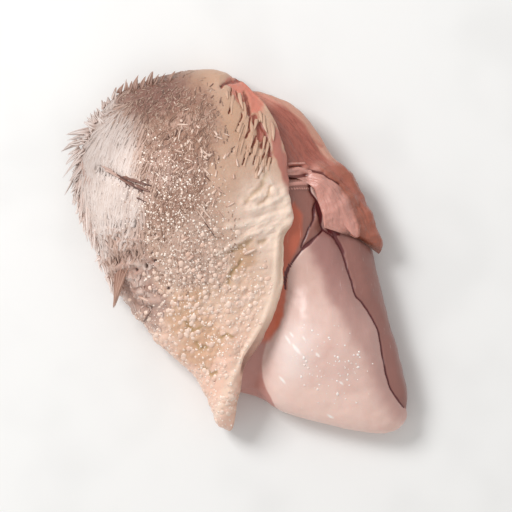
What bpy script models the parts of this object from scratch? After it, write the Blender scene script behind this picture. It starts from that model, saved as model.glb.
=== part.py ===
"""A raw chicken breast with part of its feathered skin on, lying on its hidden side.

Every surface is one low dome, moved in or out along its own normal: the fillet, the
shoulder muscle let into its upper right, and the skin drawn over its left. The dome is
the image of a disc. Reach 0 is its middle, reach 1 its widest level, and from there to
reach 1.5 the side turns in underneath. Seen from above, +Y is the wing end and -Y the
end where the skin hangs past the meat in a point.
"""

import math

import bmesh
import bpy
import numpy as np

MM = 0.001
# The point on the table, in the outlines' own millimetres, that becomes the origin
ORIGIN = np.array((0.8, 0.9, 0.0))

# The dome, in millimetres
MIDDLE = np.array((0.5, 7.0))
WAIST = 10.0
UNDERCUT = 9.0
ROUNDNESS = 2.2
LAST_REACH = 1.5
CROWN = 27.0
# Each swelling: its middle, its rise and its spread
SWELLINGS = (
    ((-24.0, 27.0), 23.0, 44.0),
    ((40.0, -42.0), 8.0, 32.0),
)
OUTLINE = (
    (0.5, 73.5), (-11.5, 79.5), (-28.0, 77.5), (-46.0, 71.5), (-58.0, 61.0),
    (-66.0, 46.5), (-68.5, 30.0), (-64.0, 11.0), (-57.0, -7.0), (-46.5, -24.5),
    (-32.5, -41.5), (-16.5, -55.0), (-8.0, -63.5), (4.0, -66.5), (18.5, -70.5),
    (45.0, -77.5), (66.0, -80.5), (75.0, -75.5), (77.0, -65.0), (72.0, -44.5),
    (66.0, -22.0), (62.0, -5.0), (59.0, 9.0), (52.0, 25.0), (42.0, 42.5),
    (29.0, 60.5), (13.0, 70.0),
)

# The skin
SKIN = 2.3
SKIN_GAP = 0.8
SKIN_TURNS = math.radians(88), math.radians(266)
SKIN_FADE = math.radians(15)
SKIN_REACH = 1.2
SKIN_MIDDLE = (-25.0, 10.0)
SKIN_CUT = (
    (7.0, 69.5), (12.5, 63.5), (16.5, 56.5), (20.0, 48.5), (22.0, 39.0),
    (23.0, 26.5), (25.0, 13.5), (20.5, 7.0), (19.0, -5.0), (17.0, -20.0),
    (13.0, -34.0), (9.0, -44.5), (4.0, -56.0), (1.5, -65.0),
)
SKIN_SIDE_TURNS = math.radians(91), math.radians(263)
TIP = (-2.5, -77.0)
TIP_TURN = math.atan2(TIP[1] - MIDDLE[1], TIP[0] - MIDDLE[0]) % math.tau
TIP_LENGTH = 12.0
TIP_WIDTH = math.radians(3.6)
TIP_REACH = 1.12
GOOSE_STEP = 8.0
GOOSE_HEIGHT = 0.4
GOOSE_ROWS = math.radians(30)
FOLD_HEIGHT = 0.9
FOLD_STEP = 44.0
FOLD_SWAY = 82.0
# Folds lie below FOLD_TOP, above FOLD_FOOT and left of FOLD_RIGHT, and fade in over FOLD_FADE
FOLD_TOP, FOLD_FOOT, FOLD_RIGHT, FOLD_FADE = 25.0, -45.0, -20.0, 20.0
# The cut edge: each row is its share of the way out and of the skin's thickness
SKIN_EDGE = ((0.985, 0.8), (1.0, 0.4))
SKIN_FACE_SHARE = 0.955
SKIN_INNER_SHARE = 0.99

# The shoulder muscle: its hidden and torn side, then its outer side
MUSCLE_HIDDEN = ((-2.5, 71.5), (4.0, 58.5), (11.5, 44.0), (20.0, 33.5))
MUSCLE_TORN = ((29.0, 30.5), (35.5, 26.5), (38.0, 18.5), (41.0, 11.5), (44.5, 6.5))
MUSCLE_OUTER = (
    (6.0, 72.5), (13.0, 70.0), (29.0, 60.5), (42.0, 42.5), (52.0, 25.0),
    (59.0, 9.0), (62.5, -2.0),
)
MUSCLE_REACH = 1.02
HOLLOW = 5.0
HOLLOW_BLEND = 10.0
HOLLOW_MARGIN = 8.0
HOLLOW_BEYOND = 1.25
MUSCLE_GAP = 0.9
MUSCLE_SUNK = 0.6
MUSCLE_EDGE = 0.6
# Each row is a height, where it runs between the inner and outer side, and its half width
RIDGE = 2.6, 0.8, 0.16
VALLEY = 1.2, 0.45, 0.2
FLAP_HEIGHT = 3.6
# The ridge rises, the flap begins and the strap's end thickens over these shares of its length
RIDGE_RISE = 0.3
FLAP_START, FLAP_RISE = 0.5, 0.15
END_THICKNESS, END_RISE = 0.35, 0.12
# Each lump of the torn flap: its middle, its rise and its spread
LUMPS = (
    ((39.5, 26.0), 2.4, 5.0),
    ((44.0, 17.0), 2.6, 6.5),
    ((50.0, 8.5), 2.2, 5.5),
    ((38.5, 5.5), 1.2, 2.5),
    ((52.5, 5.0), 1.6, 2.8),
    ((58.5, 1.0), 1.4, 3.0),
)

# The middle of the bare lobe, the furrow beside the cut skin, and the seam that parts the meat
LOBE_MIDDLE = (36.0, -28.0)
FURROW = (
    (30.5, 15.5), (29.0, 4.5), (25.0, -8.5), (21.5, -22.0), (16.5, -35.0),
    (12.5, -46.0), (8.5, -57.0), (6.0, -68.0), (5.5, -80.0),
)
FURROW_DEPTH = 6.5
FURROW_WIDTH = 9.0
FURROW_TOP = 15.0
FURROW_DEEPENS = 50.0
SEAM = (
    (42.0, 6.5), (50.0, -5.0), (54.5, -24.0), (59.0, -31.5), (63.0, -39.5),
    (64.0, -48.0), (66.0, -59.0), (70.0, -66.5), (76.0, -75.5),
)
SEAM_DEPTH = 1.5
SEAM_WIDTH = 3.5

# The feather tufts: where they stand round the edge and which way they point
TUFT_ROWS = (0.80, 0.90, 1.00)
TUFTS_IN_ROW = 13
TUFT_TURNS = math.radians(112), math.radians(206)
TUFT_WAYS = (
    np.radians((110, 128, 140, 150, 162, 176, 194, 214)),
    np.radians((62, 85, 125, 180, 225, 250, 262, 258)),
)
TUFT_LENGTHS = 5.5, 9.0
TUFT_RADIUS = 2.0
TUFT_WAIST = 0.6
TUFT_ROOT = 1.3
TUFT_RISE, TUFT_LEAN = 0.7, 0.5
TUFT_BEND, TUFT_REST = 0.45, 0.6
TUFT_DROOP = 0.25
TUFT_SIDES = 5
TUFT_SEED = 7
LOOSE_TUFT = math.radians(213), 0.92, 12.5, 2.4

# How finely each solid is cut
FILLET_SPOKES, FILLET_RINGS, FILLET_CROWDING = 68, 34, 1.5
SKIN_SIDE_SPOKES, SKIN_CUT_SPOKES = 44, 34
SKIN_OUTER_RINGS, SKIN_INNER_RINGS, SKIN_CROWDING = 23, 11, 1.2
MUSCLE_STATIONS, MUSCLE_SPOKES = 26, 24


def smooth_path(points, closed, steps=10):
    """Points along a smooth curve through the given ones."""
    points = np.array(points, float)
    if closed:
        run = np.vstack((points[-1], points, points[:2]))
    else:
        run = np.vstack((2 * points[0] - points[1], points, 2 * points[-1] - points[-2]))
    share = np.linspace(0, 1, steps, endpoint=False)[:, None]
    parts = []
    for a, b, c, d in zip(run, run[1:], run[2:], run[3:]):
        curve = 2 * b + (c - a) * share + (2 * a - 5 * b + 4 * c - d) * share**2
        parts.append(0.5 * (curve + (3 * b - a - 3 * c + d) * share**3))
    if not closed:
        parts.append(points[-1:])
    return np.vstack(parts)


def resampled(path, count):
    """The path as a number of evenly spaced points, both ends among them."""
    steps = np.linalg.norm(np.diff(path, axis=0), axis=1)
    along = np.concatenate(((0,), np.cumsum(steps)))
    wanted = np.linspace(0, along[-1], count)
    return np.column_stack([np.interp(wanted, along, axis) for axis in path.T])


def smoothstep(value):
    value = np.clip(value, 0, 1)
    return value * value * (3 - 2 * value)


def distance_to(path, x, y):
    """How far each point is from an open path."""
    nearest = np.full(np.shape(x), np.inf)
    for (ax, ay), (bx, by) in zip(path, path[1:]):
        run_x, run_y = bx - ax, by - ay
        share = ((x - ax) * run_x + (y - ay) * run_y) / (run_x**2 + run_y**2)
        share = np.clip(share, 0, 1)
        nearest = np.minimum(nearest, np.hypot(x - ax - share * run_x, y - ay - share * run_y))
    return nearest


def inside_by(path, x, y):
    """How far inside a closed path each point is, below 0 outside it."""
    ring = np.vstack((path, path[:1]))
    inside = np.zeros(np.shape(x), bool)
    for (ax, ay), (bx, by) in zip(ring, ring[1:]):
        if ay != by:
            inside ^= ((ay > y) != (by > y)) & (x < ax + (bx - ax) * (y - ay) / (by - ay))
    return np.where(inside, 1, -1) * distance_to(ring, x, y)


def humps(parts, x, y):
    """The summed height of round swellings."""
    total = np.zeros(np.shape(x))
    for (middle_x, middle_y), rise, spread in parts:
        total += rise * np.exp(-((x - middle_x) ** 2 + (y - middle_y) ** 2) / spread**2)
    return total


def polar_table(points):
    path = smooth_path(points, closed=True) - MIDDLE
    turn = np.arctan2(path[:, 1], path[:, 0]) % math.tau
    order = np.argsort(turn)
    return turn[order], np.hypot(path[:, 0], path[:, 1])[order]


OUTLINE_TURNS, OUTLINE_REACHES = polar_table(OUTLINE)


def edge_radius(turn, hanging):
    """Radius of the widest level of the meat, or with the skin's hanging point added."""
    turn = turn % math.tau
    whole = np.interp(turn, OUTLINE_TURNS, OUTLINE_REACHES, period=math.tau)
    first, last = SKIN_TURNS
    under_skin = smoothstep((turn - first) / SKIN_FADE) * smoothstep((last - turn) / SKIN_FADE)
    radius = whole - (SKIN + SKIN_GAP) * under_skin
    if hanging:
        radius = radius + TIP_LENGTH * np.exp(-(((turn - TIP_TURN) / TIP_WIDTH) ** 2))
    return radius


def dome(u, v, hanging=False):
    """The points of the dome over points of the disc."""
    turn, reach = np.arctan2(v, u), np.hypot(u, v)
    edge = edge_radius(turn, hanging)
    over = np.clip(reach, 0, 1) * math.pi / 2
    under = np.clip(reach - 1, 0, None) * math.pi
    across = edge * np.sin(over) - UNDERCUT * (1 - np.cos(under))
    x = MIDDLE[0] + across * np.cos(turn)
    y = MIDDLE[1] + across * np.sin(turn)
    fall = (1 - np.sin(over) ** ROUNDNESS) ** (1 / ROUNDNESS)
    top = WAIST + (CROWN + humps(SWELLINGS, x, y) - WAIST) * fall
    z = np.where(reach < 1, top, WAIST * (1 - np.sin(under)))
    return np.stack((x, y, z), axis=-1)


def lifted(disc, height, hanging=False):
    """The dome's points moved out along its normals."""
    u, v = disc[..., 0], disc[..., 1]
    step = 1e-3
    along_u = dome(u + step, v, hanging) - dome(u - step, v, hanging)
    along_v = dome(u, v + step, hanging) - dome(u, v - step, hanging)
    normal = np.cross(along_u, along_v)
    normal /= np.linalg.norm(normal, axis=-1, keepdims=True)
    return dome(u, v, hanging) + normal * np.asarray(height)[..., None]


def disc_of(points, hanging=False):
    """Where points seen from above lie in the disc."""
    offset = np.array(points, float) - MIDDLE
    turn = np.arctan2(offset[..., 1], offset[..., 0])
    share = np.hypot(offset[..., 0], offset[..., 1]) / edge_radius(turn, hanging)
    reach = np.arcsin(np.clip(share, 0, 1)) / (math.pi / 2)
    return np.stack((reach * np.cos(turn), reach * np.sin(turn)), axis=-1)


def on_disc(turn, reach):
    return np.stack((reach * np.cos(turn), reach * np.sin(turn)), axis=-1)


def hollow_path():
    """The outline of the hollow that holds the shoulder muscle, wider where that is hidden."""
    hidden = [(x - HOLLOW_MARGIN, y) for x, y in MUSCLE_HIDDEN]
    beyond = MIDDLE + (np.array(MUSCLE_OUTER) - MIDDLE) * HOLLOW_BEYOND
    return np.vstack((hidden, MUSCLE_TORN, beyond[::-1]))


HOLLOW_PATH = hollow_path()
FURROW_PATH = smooth_path(FURROW, closed=False, steps=4)
SEAM_PATH = smooth_path(SEAM, closed=False, steps=4)


def hollow_depth(x, y):
    return HOLLOW * smoothstep(inside_by(HOLLOW_PATH, x, y) / HOLLOW_BLEND)


def fillet_relief(x, y):
    """How far the fillet stands out from the dome, below 0 where it is hollowed."""
    furrow = np.exp(-((distance_to(FURROW_PATH, x, y) / FURROW_WIDTH) ** 2))
    furrow *= smoothstep((FURROW_TOP - y) / FURROW_DEEPENS)
    seam = np.exp(-((distance_to(SEAM_PATH, x, y) / SEAM_WIDTH) ** 2))
    return -hollow_depth(x, y) - FURROW_DEPTH * furrow - SEAM_DEPTH * seam


def skin_relief(x, y):
    """Goose bumps in two crossed rows and the soft folds of the wing end."""
    row = x * math.cos(GOOSE_ROWS) + y * math.sin(GOOSE_ROWS)
    column = y * math.cos(GOOSE_ROWS) - x * math.sin(GOOSE_ROWS)
    bumps = np.sin(math.tau * row / GOOSE_STEP) * np.sin(math.tau * column / GOOSE_STEP)
    sway = 1.5 * np.sin(math.tau * y / FOLD_SWAY)
    fold = np.sin(math.tau * (x + 0.6 * y) / FOLD_STEP + sway)
    beside = smoothstep((FOLD_RIGHT - x) / FOLD_FADE)
    between = smoothstep((y - FOLD_FOOT) / FOLD_FADE) * smoothstep((FOLD_TOP - y) / FOLD_FADE)
    return GOOSE_HEIGHT * bumps + FOLD_HEIGHT * fold * beside * between


def new_material(name, colour, roughness):
    material = bpy.data.materials.new(name)
    material.use_nodes = True
    shader = material.node_tree.nodes["Principled BSDF"]
    shader.inputs["Base Color"].default_value = (*colour, 1)
    shader.inputs["Roughness"].default_value = roughness
    shader.inputs["Metallic"].default_value = 0
    return material


def closed_body(name, first, rings, last, material):
    """One closed solid: a pole, rings of equal count, and a pole."""
    mesh = bmesh.new()
    start = mesh.verts.new((first - ORIGIN) * MM)
    stop = mesh.verts.new((last - ORIGIN) * MM)
    rows = [[mesh.verts.new(point) for point in (ring - ORIGIN) * MM] for ring in rings]
    count = len(rows[0])
    for i in range(count):
        j = (i + 1) % count
        mesh.faces.new((start, rows[0][i], rows[0][j]))
        mesh.faces.new((stop, rows[-1][j], rows[-1][i]))
        for upper, lower in zip(rows, rows[1:]):
            mesh.faces.new((upper[i], lower[i], lower[j], upper[j]))
    bmesh.ops.recalc_face_normals(mesh, faces=mesh.faces)
    data = bpy.data.meshes.new(name)
    mesh.to_mesh(data)
    mesh.free()
    data.shade_smooth()
    data.materials.append(material)
    body = bpy.data.objects.new(name, data)
    bpy.context.scene.collection.objects.link(body)
    return body


def add_fillet():
    """The pale breast muscle, which runs under everything and has the flat underside."""
    outline = smooth_path(OUTLINE, closed=True)
    spread = resampled(np.vstack((outline, outline[:1])), FILLET_SPOKES + 1)[:-1] - MIDDLE
    border = on_disc(np.arctan2(spread[:, 1], spread[:, 0]), LAST_REACH)
    middle = disc_of(LOBE_MIDDLE)
    rings = []
    for share in np.linspace(0, 1, FILLET_RINGS + 1) ** FILLET_CROWDING:
        disc = middle + (border - middle) * share
        points = dome(disc[:, 0], disc[:, 1])
        fade = 1 - smoothstep((np.hypot(disc[:, 0], disc[:, 1]) - 1.05) / 0.3)
        rings.append(lifted(disc, fillet_relief(points[:, 0], points[:, 1]) * fade))
    rings[-1][:, 2] = 0
    top = rings.pop(0)[0]
    below = np.array((*LOBE_MIDDLE, 0))
    pink = new_material("pale breast meat", (0.79, 0.54, 0.47), 0.35)
    return closed_body("fillet", top, rings, below, pink)


def skin_border():
    """The skin's edge on the disc: round the hidden side, up the cut and out to the point."""
    first, last = SKIN_SIDE_TURNS
    side = on_disc(np.linspace(first, last, SKIN_SIDE_SPOKES), SKIN_REACH)
    tip = on_disc(np.array([TIP_TURN]), TIP_REACH)
    corner = on_disc(np.array([first]), 1.05)
    cut = disc_of(smooth_path(SKIN_CUT, closed=False)[::-1], hanging=True)
    round_side = resampled(np.vstack((side, tip)), SKIN_SIDE_SPOKES + 1)
    up_cut = resampled(np.vstack((tip, cut, corner, side[:1])), SKIN_CUT_SPOKES + 1)
    return np.vstack((round_side[:-1], up_cut[:-1]))


def add_skin():
    """The skin: its outer face, a rounded edge and the inner face that lies on the meat."""
    border = skin_border()
    middle = disc_of(SKIN_MIDDLE, hanging=True)
    outer_shares = np.linspace(0, SKIN_FACE_SHARE, SKIN_OUTER_RINGS + 1)[1:]
    inward = np.linspace(0, 1, SKIN_INNER_RINGS + 1)[:-1] ** SKIN_CROWDING
    outer = [(share, SKIN_GAP + SKIN, 1) for share in outer_shares]
    edge = [(share, SKIN_GAP + thickness * SKIN, 0) for share, thickness in SKIN_EDGE]
    inner = [(share, SKIN_GAP, 0) for share in SKIN_INNER_SHARE * (1 - inward)]
    rings = []
    for share, height, rough in (*outer, *edge, *inner):
        disc = middle + (border - middle) * share
        points = dome(disc[:, 0], disc[:, 1])
        relief = skin_relief(points[:, 0], points[:, 1]) * rough
        rings.append(lifted(disc, height + relief, hanging=True))
    top = lifted(middle[None], np.array([SKIN_GAP + SKIN]), hanging=True)[0]
    below = lifted(middle[None], np.array([SKIN_GAP]), hanging=True)[0]
    cream = new_material("chicken skin", (0.62, 0.44, 0.31), 0.4)
    return closed_body("skin", top, rings, below, cream)


def run_of(shape, across):
    """The height of a long ridge, given as its height, its place and its half width."""
    height, place, half_width = shape
    return height * np.exp(-(((across - place) / half_width) ** 2))


def add_shoulder_muscle():
    """A strap that lies in the fillet's hollow and ends in a torn, lumpy flap."""
    inner_path = smooth_path(MUSCLE_HIDDEN + MUSCLE_TORN, closed=False)
    outer_path = smooth_path(MUSCLE_OUTER, closed=False)
    inner = disc_of(resampled(inner_path, MUSCLE_STATIONS))
    offset = resampled(outer_path, MUSCLE_STATIONS) - MIDDLE
    outer = on_disc(np.arctan2(offset[:, 1], offset[:, 0]), MUSCLE_REACH)
    round_turn = np.linspace(0, math.tau, MUSCLE_SPOKES, endpoint=False)
    across = 0.5 - 0.5 * np.cos(round_turn)
    thick = np.abs(np.sin(round_turn)) ** MUSCLE_EDGE * np.sign(np.sin(round_turn))
    rings = []
    for station, (start, stop) in enumerate(zip(inner, outer)):
        along = station / (MUSCLE_STATIONS - 1)
        disc = start + (stop - start) * across[:, None]
        points = dome(disc[:, 0], disc[:, 1])
        x, y = points[:, 0], points[:, 1]
        bottom = MUSCLE_GAP - hollow_depth(x, y)
        torn = smoothstep((along - FLAP_START) / FLAP_RISE)
        strap = run_of(RIDGE, across) * smoothstep(along / RIDGE_RISE)
        strap -= run_of(VALLEY, across) * (1 - torn)
        top = strap - MUSCLE_SUNK + FLAP_HEIGHT * torn + humps(LUMPS, x, y)
        level = (top + bottom) / 2
        ends = min(1, END_THICKNESS + along / END_RISE)
        rings.append(lifted(disc, level + (top - bottom) / 2 * thick * ends))
    first, last = rings[0].mean(axis=0), rings[-1].mean(axis=0)
    red = new_material("shoulder muscle", (0.42, 0.16, 0.12), 0.35)
    return closed_body("shoulder_muscle", first, rings, last, red)


def add_tuft(turn, reach, length, radius, material, collection):
    """One bent, pointed tuft of wet down, rooted in the skin."""
    way = np.interp(turn, *TUFT_WAYS)
    disc = on_disc(np.array([turn]), reach)
    height = SKIN_GAP + SKIN
    root = lifted(disc, np.array([height - TUFT_ROOT]), hanging=True)[0]
    normal = (lifted(disc, np.array([height]), hanging=True)[0] - root) / TUFT_ROOT
    sweep = np.array((math.cos(way), math.sin(way), 0))
    start = normal * TUFT_RISE + sweep * TUFT_LEAN
    middle = root + start * length * TUFT_BEND
    tip = middle + (sweep - np.array((0, 0, TUFT_DROOP))) * length * TUFT_REST
    side = np.cross(start, sweep + np.array((0, 0, 1)))
    side /= np.linalg.norm(side)
    up = np.cross(side, start)
    up /= np.linalg.norm(up)
    corners = np.linspace(0, math.tau, TUFT_SIDES, endpoint=False)[:, None]
    ring = np.cos(corners) * side + np.sin(corners) * up
    rings = [root + ring * radius, middle + ring * radius * TUFT_WAIST]
    tuft = closed_body("tuft", root, rings, tip, material)
    bpy.context.scene.collection.objects.unlink(tuft)
    collection.objects.link(tuft)


def add_tufts(skin):
    """Tufts along the feathered side, fused to the skin."""
    draw = np.random.default_rng(TUFT_SEED)
    collection = bpy.data.collections.new("tufts")
    bpy.context.scene.collection.children.link(collection)
    first, last = TUFT_TURNS
    material = skin.data.materials[0]
    for row, reach in enumerate(TUFT_ROWS):
        for i in range(TUFTS_IN_ROW):
            turn = first + (last - first) * (i + row / len(TUFT_ROWS)) / TUFTS_IN_ROW
            length = draw.uniform(*TUFT_LENGTHS)
            add_tuft(turn, reach, length, TUFT_RADIUS, material, collection)
    add_tuft(*LOOSE_TUFT, material, collection)
    union = skin.modifiers.new("fused tufts", "BOOLEAN")
    union.operation = "UNION"
    union.operand_type = "COLLECTION"
    union.collection = collection
    union.solver = "MANIFOLD"
    bpy.context.view_layer.update()
    graph = bpy.context.evaluated_depsgraph_get()
    fused = bpy.data.meshes.new_from_object(skin.evaluated_get(graph))
    skin.modifiers.clear()
    skin.data = fused
    for tuft in list(collection.objects):
        bpy.data.objects.remove(tuft)
    bpy.data.collections.remove(collection)


def main():
    for old in list(bpy.data.objects):
        bpy.data.objects.remove(old)
    add_fillet()
    add_shoulder_muscle()
    add_tufts(add_skin())


main()
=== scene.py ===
# %% [markdown]
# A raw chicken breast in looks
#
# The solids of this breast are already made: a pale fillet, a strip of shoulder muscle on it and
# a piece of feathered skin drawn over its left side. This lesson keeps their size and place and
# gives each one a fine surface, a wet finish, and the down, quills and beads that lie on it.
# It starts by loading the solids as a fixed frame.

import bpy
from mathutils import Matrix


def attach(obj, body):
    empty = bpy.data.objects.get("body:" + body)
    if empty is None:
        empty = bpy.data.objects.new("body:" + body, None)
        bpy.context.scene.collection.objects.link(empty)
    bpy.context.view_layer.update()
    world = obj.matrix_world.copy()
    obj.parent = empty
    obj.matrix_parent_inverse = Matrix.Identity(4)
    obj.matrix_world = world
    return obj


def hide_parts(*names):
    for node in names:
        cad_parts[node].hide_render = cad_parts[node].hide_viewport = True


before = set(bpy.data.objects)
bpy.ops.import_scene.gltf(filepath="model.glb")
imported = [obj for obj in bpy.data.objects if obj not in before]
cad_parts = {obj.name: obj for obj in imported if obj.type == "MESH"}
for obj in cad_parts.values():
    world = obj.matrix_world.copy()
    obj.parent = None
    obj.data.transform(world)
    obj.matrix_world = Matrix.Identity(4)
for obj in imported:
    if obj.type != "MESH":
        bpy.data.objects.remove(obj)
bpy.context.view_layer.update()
print("nodes:", ", ".join(sorted(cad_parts)))

# %%
import itertools
import math

import bpy
import numpy as np
from mathutils import Vector

MM = 0.001

# %% [markdown]
# Paths and soft steps
#
# All outlines are short lists of points that a smooth curve runs through. A few helpers do the
# work: the curve itself, even spacing along it, the distance to it, how deep a place lies
# inside it, and strokes and swellings drawn at given places. NumPy treats every vertex at once,
# so a hundred thousand cost little.

# %% Helpers for paths
def smooth_path(points, closed=False, steps=10):
    """Points along a smooth curve through the given ones."""
    points = np.array(points, float)
    if closed:
        run = np.vstack((points[-1], points, points[:2]))
    else:
        run = np.vstack((2 * points[0] - points[1], points, 2 * points[-1] - points[-2]))
    share = np.linspace(0, 1, steps, endpoint=False)[:, None]
    parts = []
    for a, b, c, d in zip(run, run[1:], run[2:], run[3:]):
        curve = 2 * b + (c - a) * share + (2 * a - 5 * b + 4 * c - d) * share**2
        parts.append(0.5 * (curve + (3 * b - a - 3 * c + d) * share**3))
    if not closed:
        parts.append(points[-1:])
    return np.vstack(parts)


def resampled(path, count):
    """The path as a number of evenly spaced points, both ends among them."""
    steps = np.linalg.norm(np.diff(path, axis=0), axis=1)
    along = np.concatenate(((0,), np.cumsum(steps)))
    wanted = np.linspace(0, along[-1], count)
    return np.column_stack([np.interp(wanted, along, axis) for axis in np.transpose(path)])


def smoothstep(value):
    value = np.clip(value, 0, 1)
    return value * value * (3 - 2 * value)


def bell(value):
    """1 at 0, falling to 0 on both sides."""
    return np.exp(-(value**2))


def distance_to(path, x, y):
    """How far each point is from an open path."""
    nearest = np.full(np.shape(x), np.inf)
    for (ax, ay), (bx, by) in zip(path, path[1:]):
        run_x, run_y = bx - ax, by - ay
        share = ((x - ax) * run_x + (y - ay) * run_y) / (run_x**2 + run_y**2)
        share = np.clip(share, 0, 1)
        nearest = np.minimum(nearest, np.hypot(x - ax - share * run_x, y - ay - share * run_y))
    return nearest


def inside_by(path, x, y):
    """How far inside a closed path each point is, below 0 outside it."""
    ring = np.vstack((path, path[:1]))
    inside = np.zeros(np.shape(x), bool)
    for (ax, ay), (bx, by) in zip(ring, ring[1:]):
        if ay != by:
            inside ^= ((ay > y) != (by > y)) & (x < ax + (bx - ax) * (y - ay) / (by - ay))
    return np.where(inside, 1, -1) * distance_to(ring, x, y)


def within(path, x, y, soft):
    """1 inside a closed path, 0 outside it, with a border that is soft over that width."""
    return smoothstep(0.5 + inside_by(path, x, y) / soft)


def strokes(parts, x, y):
    """1 on the given painted strokes, 0 away from them."""
    total = np.zeros(np.shape(x))
    for points, half_width in parts:
        away = distance_to(smooth_path(points, steps=4), x, y)
        total = np.maximum(total, bell(away / half_width))
    return total


def humps(parts, x, y):
    """The summed height of round swellings."""
    total = np.zeros(np.shape(x))
    for (middle_x, middle_y), rise, spread in parts:
        total += rise * np.exp(-((x - middle_x) ** 2 + (y - middle_y) ** 2) / spread**2)
    return total


# %% [markdown]
# The dome under everything
#
# The breast is a low dome with an uneven outline, and every skin and muscle on it follows that
# dome. So one function turns a flat disc into the dome: its middle is the crown, reach 1 is the
# widest level, and from there to reach 1.5 the side turns in underneath. Any layer is then a
# patch of the disc lifted along the dome's own normals. These are the solids' sizes, in mm.

# %% The dome
ORIGIN = np.array((0.8, 0.9, 0.0))
MIDDLE = np.array((0.5, 7.0))
WAIST = 10.0
UNDERCUT = 9.0
ROUNDNESS = 2.2
LAST_REACH = 1.5
CROWN = 27.0
SWELLINGS = (((-24.0, 27.0), 23.0, 44.0), ((40.0, -42.0), 8.0, 32.0))
OUTLINE = (
    (0.5, 73.5), (-11.5, 79.5), (-28.0, 77.5), (-46.0, 71.5), (-58.0, 61.0),
    (-66.0, 46.5), (-68.5, 30.0), (-64.0, 11.0), (-57.0, -7.0), (-46.5, -24.5),
    (-32.5, -41.5), (-16.5, -55.0), (-8.0, -63.5), (4.0, -66.5), (18.5, -70.5),
    (45.0, -77.5), (66.0, -80.5), (75.0, -75.5), (77.0, -65.0), (72.0, -44.5),
    (66.0, -22.0), (62.0, -5.0), (59.0, 9.0), (52.0, 25.0), (42.0, 42.5),
    (29.0, 60.5), (13.0, 70.0),
)
SKIN = 2.3
SKIN_GAP = 0.8
SKIN_TURNS = math.radians(88), math.radians(266)
SKIN_FADE = math.radians(15)
TIP = (-2.5, -77.0)
TIP_TURN = math.atan2(TIP[1] - MIDDLE[1], TIP[0] - MIDDLE[0]) % math.tau
TIP_LENGTH = 12.0
TIP_WIDTH = math.radians(3.6)


def polar_table(points):
    path = smooth_path(points, closed=True) - MIDDLE
    turn = np.arctan2(path[:, 1], path[:, 0]) % math.tau
    order = np.argsort(turn)
    return turn[order], np.hypot(path[:, 0], path[:, 1])[order]


OUTLINE_TURNS, OUTLINE_REACHES = polar_table(OUTLINE)


def edge_radius(turn, hanging):
    """Radius of the widest level of the meat, or with the skin's hanging point added."""
    turn = turn % math.tau
    whole = np.interp(turn, OUTLINE_TURNS, OUTLINE_REACHES, period=math.tau)
    first, last = SKIN_TURNS
    under_skin = smoothstep((turn - first) / SKIN_FADE) * smoothstep((last - turn) / SKIN_FADE)
    radius = whole - (SKIN + SKIN_GAP) * under_skin
    if hanging:
        radius = radius + TIP_LENGTH * bell((turn - TIP_TURN) / TIP_WIDTH)
    return radius


def dome(u, v, hanging=False):
    """The points of the dome over points of the disc."""
    turn, reach = np.arctan2(v, u), np.hypot(u, v)
    edge = edge_radius(turn, hanging)
    over = np.clip(reach, 0, 1) * math.pi / 2
    under = np.clip(reach - 1, 0, None) * math.pi
    across = edge * np.sin(over) - UNDERCUT * (1 - np.cos(under))
    x = MIDDLE[0] + across * np.cos(turn)
    y = MIDDLE[1] + across * np.sin(turn)
    fall = (1 - np.sin(over) ** ROUNDNESS) ** (1 / ROUNDNESS)
    top = WAIST + (CROWN + humps(SWELLINGS, x, y) - WAIST) * fall
    z = np.where(reach < 1, top, WAIST * (1 - np.sin(under)))
    return np.stack((x, y, z), axis=-1)


def normals(disc, hanging=False):
    u, v = disc[..., 0], disc[..., 1]
    step = 1e-3
    along_u = dome(u + step, v, hanging) - dome(u - step, v, hanging)
    along_v = dome(u, v + step, hanging) - dome(u, v - step, hanging)
    normal = np.cross(along_u, along_v)
    return normal / np.linalg.norm(normal, axis=-1, keepdims=True)


def lifted(disc, height, hanging=False):
    """The dome's points moved out along its normals."""
    base = dome(disc[..., 0], disc[..., 1], hanging)
    return base + normals(disc, hanging) * np.asarray(height)[..., None]


def on_disc(turn, reach):
    return np.stack((reach * np.cos(turn), reach * np.sin(turn)), axis=-1)


def disc_of(points, hanging=False):
    """Where points seen from above lie in the disc."""
    offset = np.array(points, float) - MIDDLE
    turn = np.arctan2(offset[..., 1], offset[..., 0])
    share = np.hypot(offset[..., 0], offset[..., 1]) / edge_radius(turn, hanging)
    return on_disc(turn, np.arcsin(np.clip(share, 0, 1)) / (math.pi / 2))


print("crown of the dome:", round(float(dome(np.zeros(1), np.zeros(1))[0, 2]), 1), "mm")

# %% [markdown]
# Two kinds of chance
#
# Flesh and skin are never even. Lattice noise gives slow, smooth change, good for swellings,
# streaks and wavering borders. Cell noise gives round bumps packed side by side, which is how
# plucked skin looks. Both read one fixed table of numbers, so each run gives the same surface.

# %% Noise for shapes
TABLE = np.random.default_rng(5).uniform(-1, 1, 8192)
PRIMES = np.array((73856093, 19349663, 83492791))


def table_value(cell, seed):
    return TABLE[(cell @ PRIMES[: cell.shape[-1]] + 131 * seed) % len(TABLE)]


def noise(points, size, seed=0):
    """Smooth random values from -1 to 1 that change over about that size."""
    scaled = np.asarray(points, float) / size
    cell = np.floor(scaled).astype(np.int64)
    share = smoothstep(scaled - cell)
    total = np.zeros(scaled.shape[:-1])
    for corner in itertools.product((0, 1), repeat=scaled.shape[-1]):
        weight = np.prod(np.where(corner, share, 1 - share), axis=-1)
        total += weight * table_value(cell + np.array(corner), seed)
    return total


def layered_noise(points, size, seed=0, layers=3):
    return sum(noise(points, size / 2**i, seed + i) / 2**i for i in range(layers))


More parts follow.
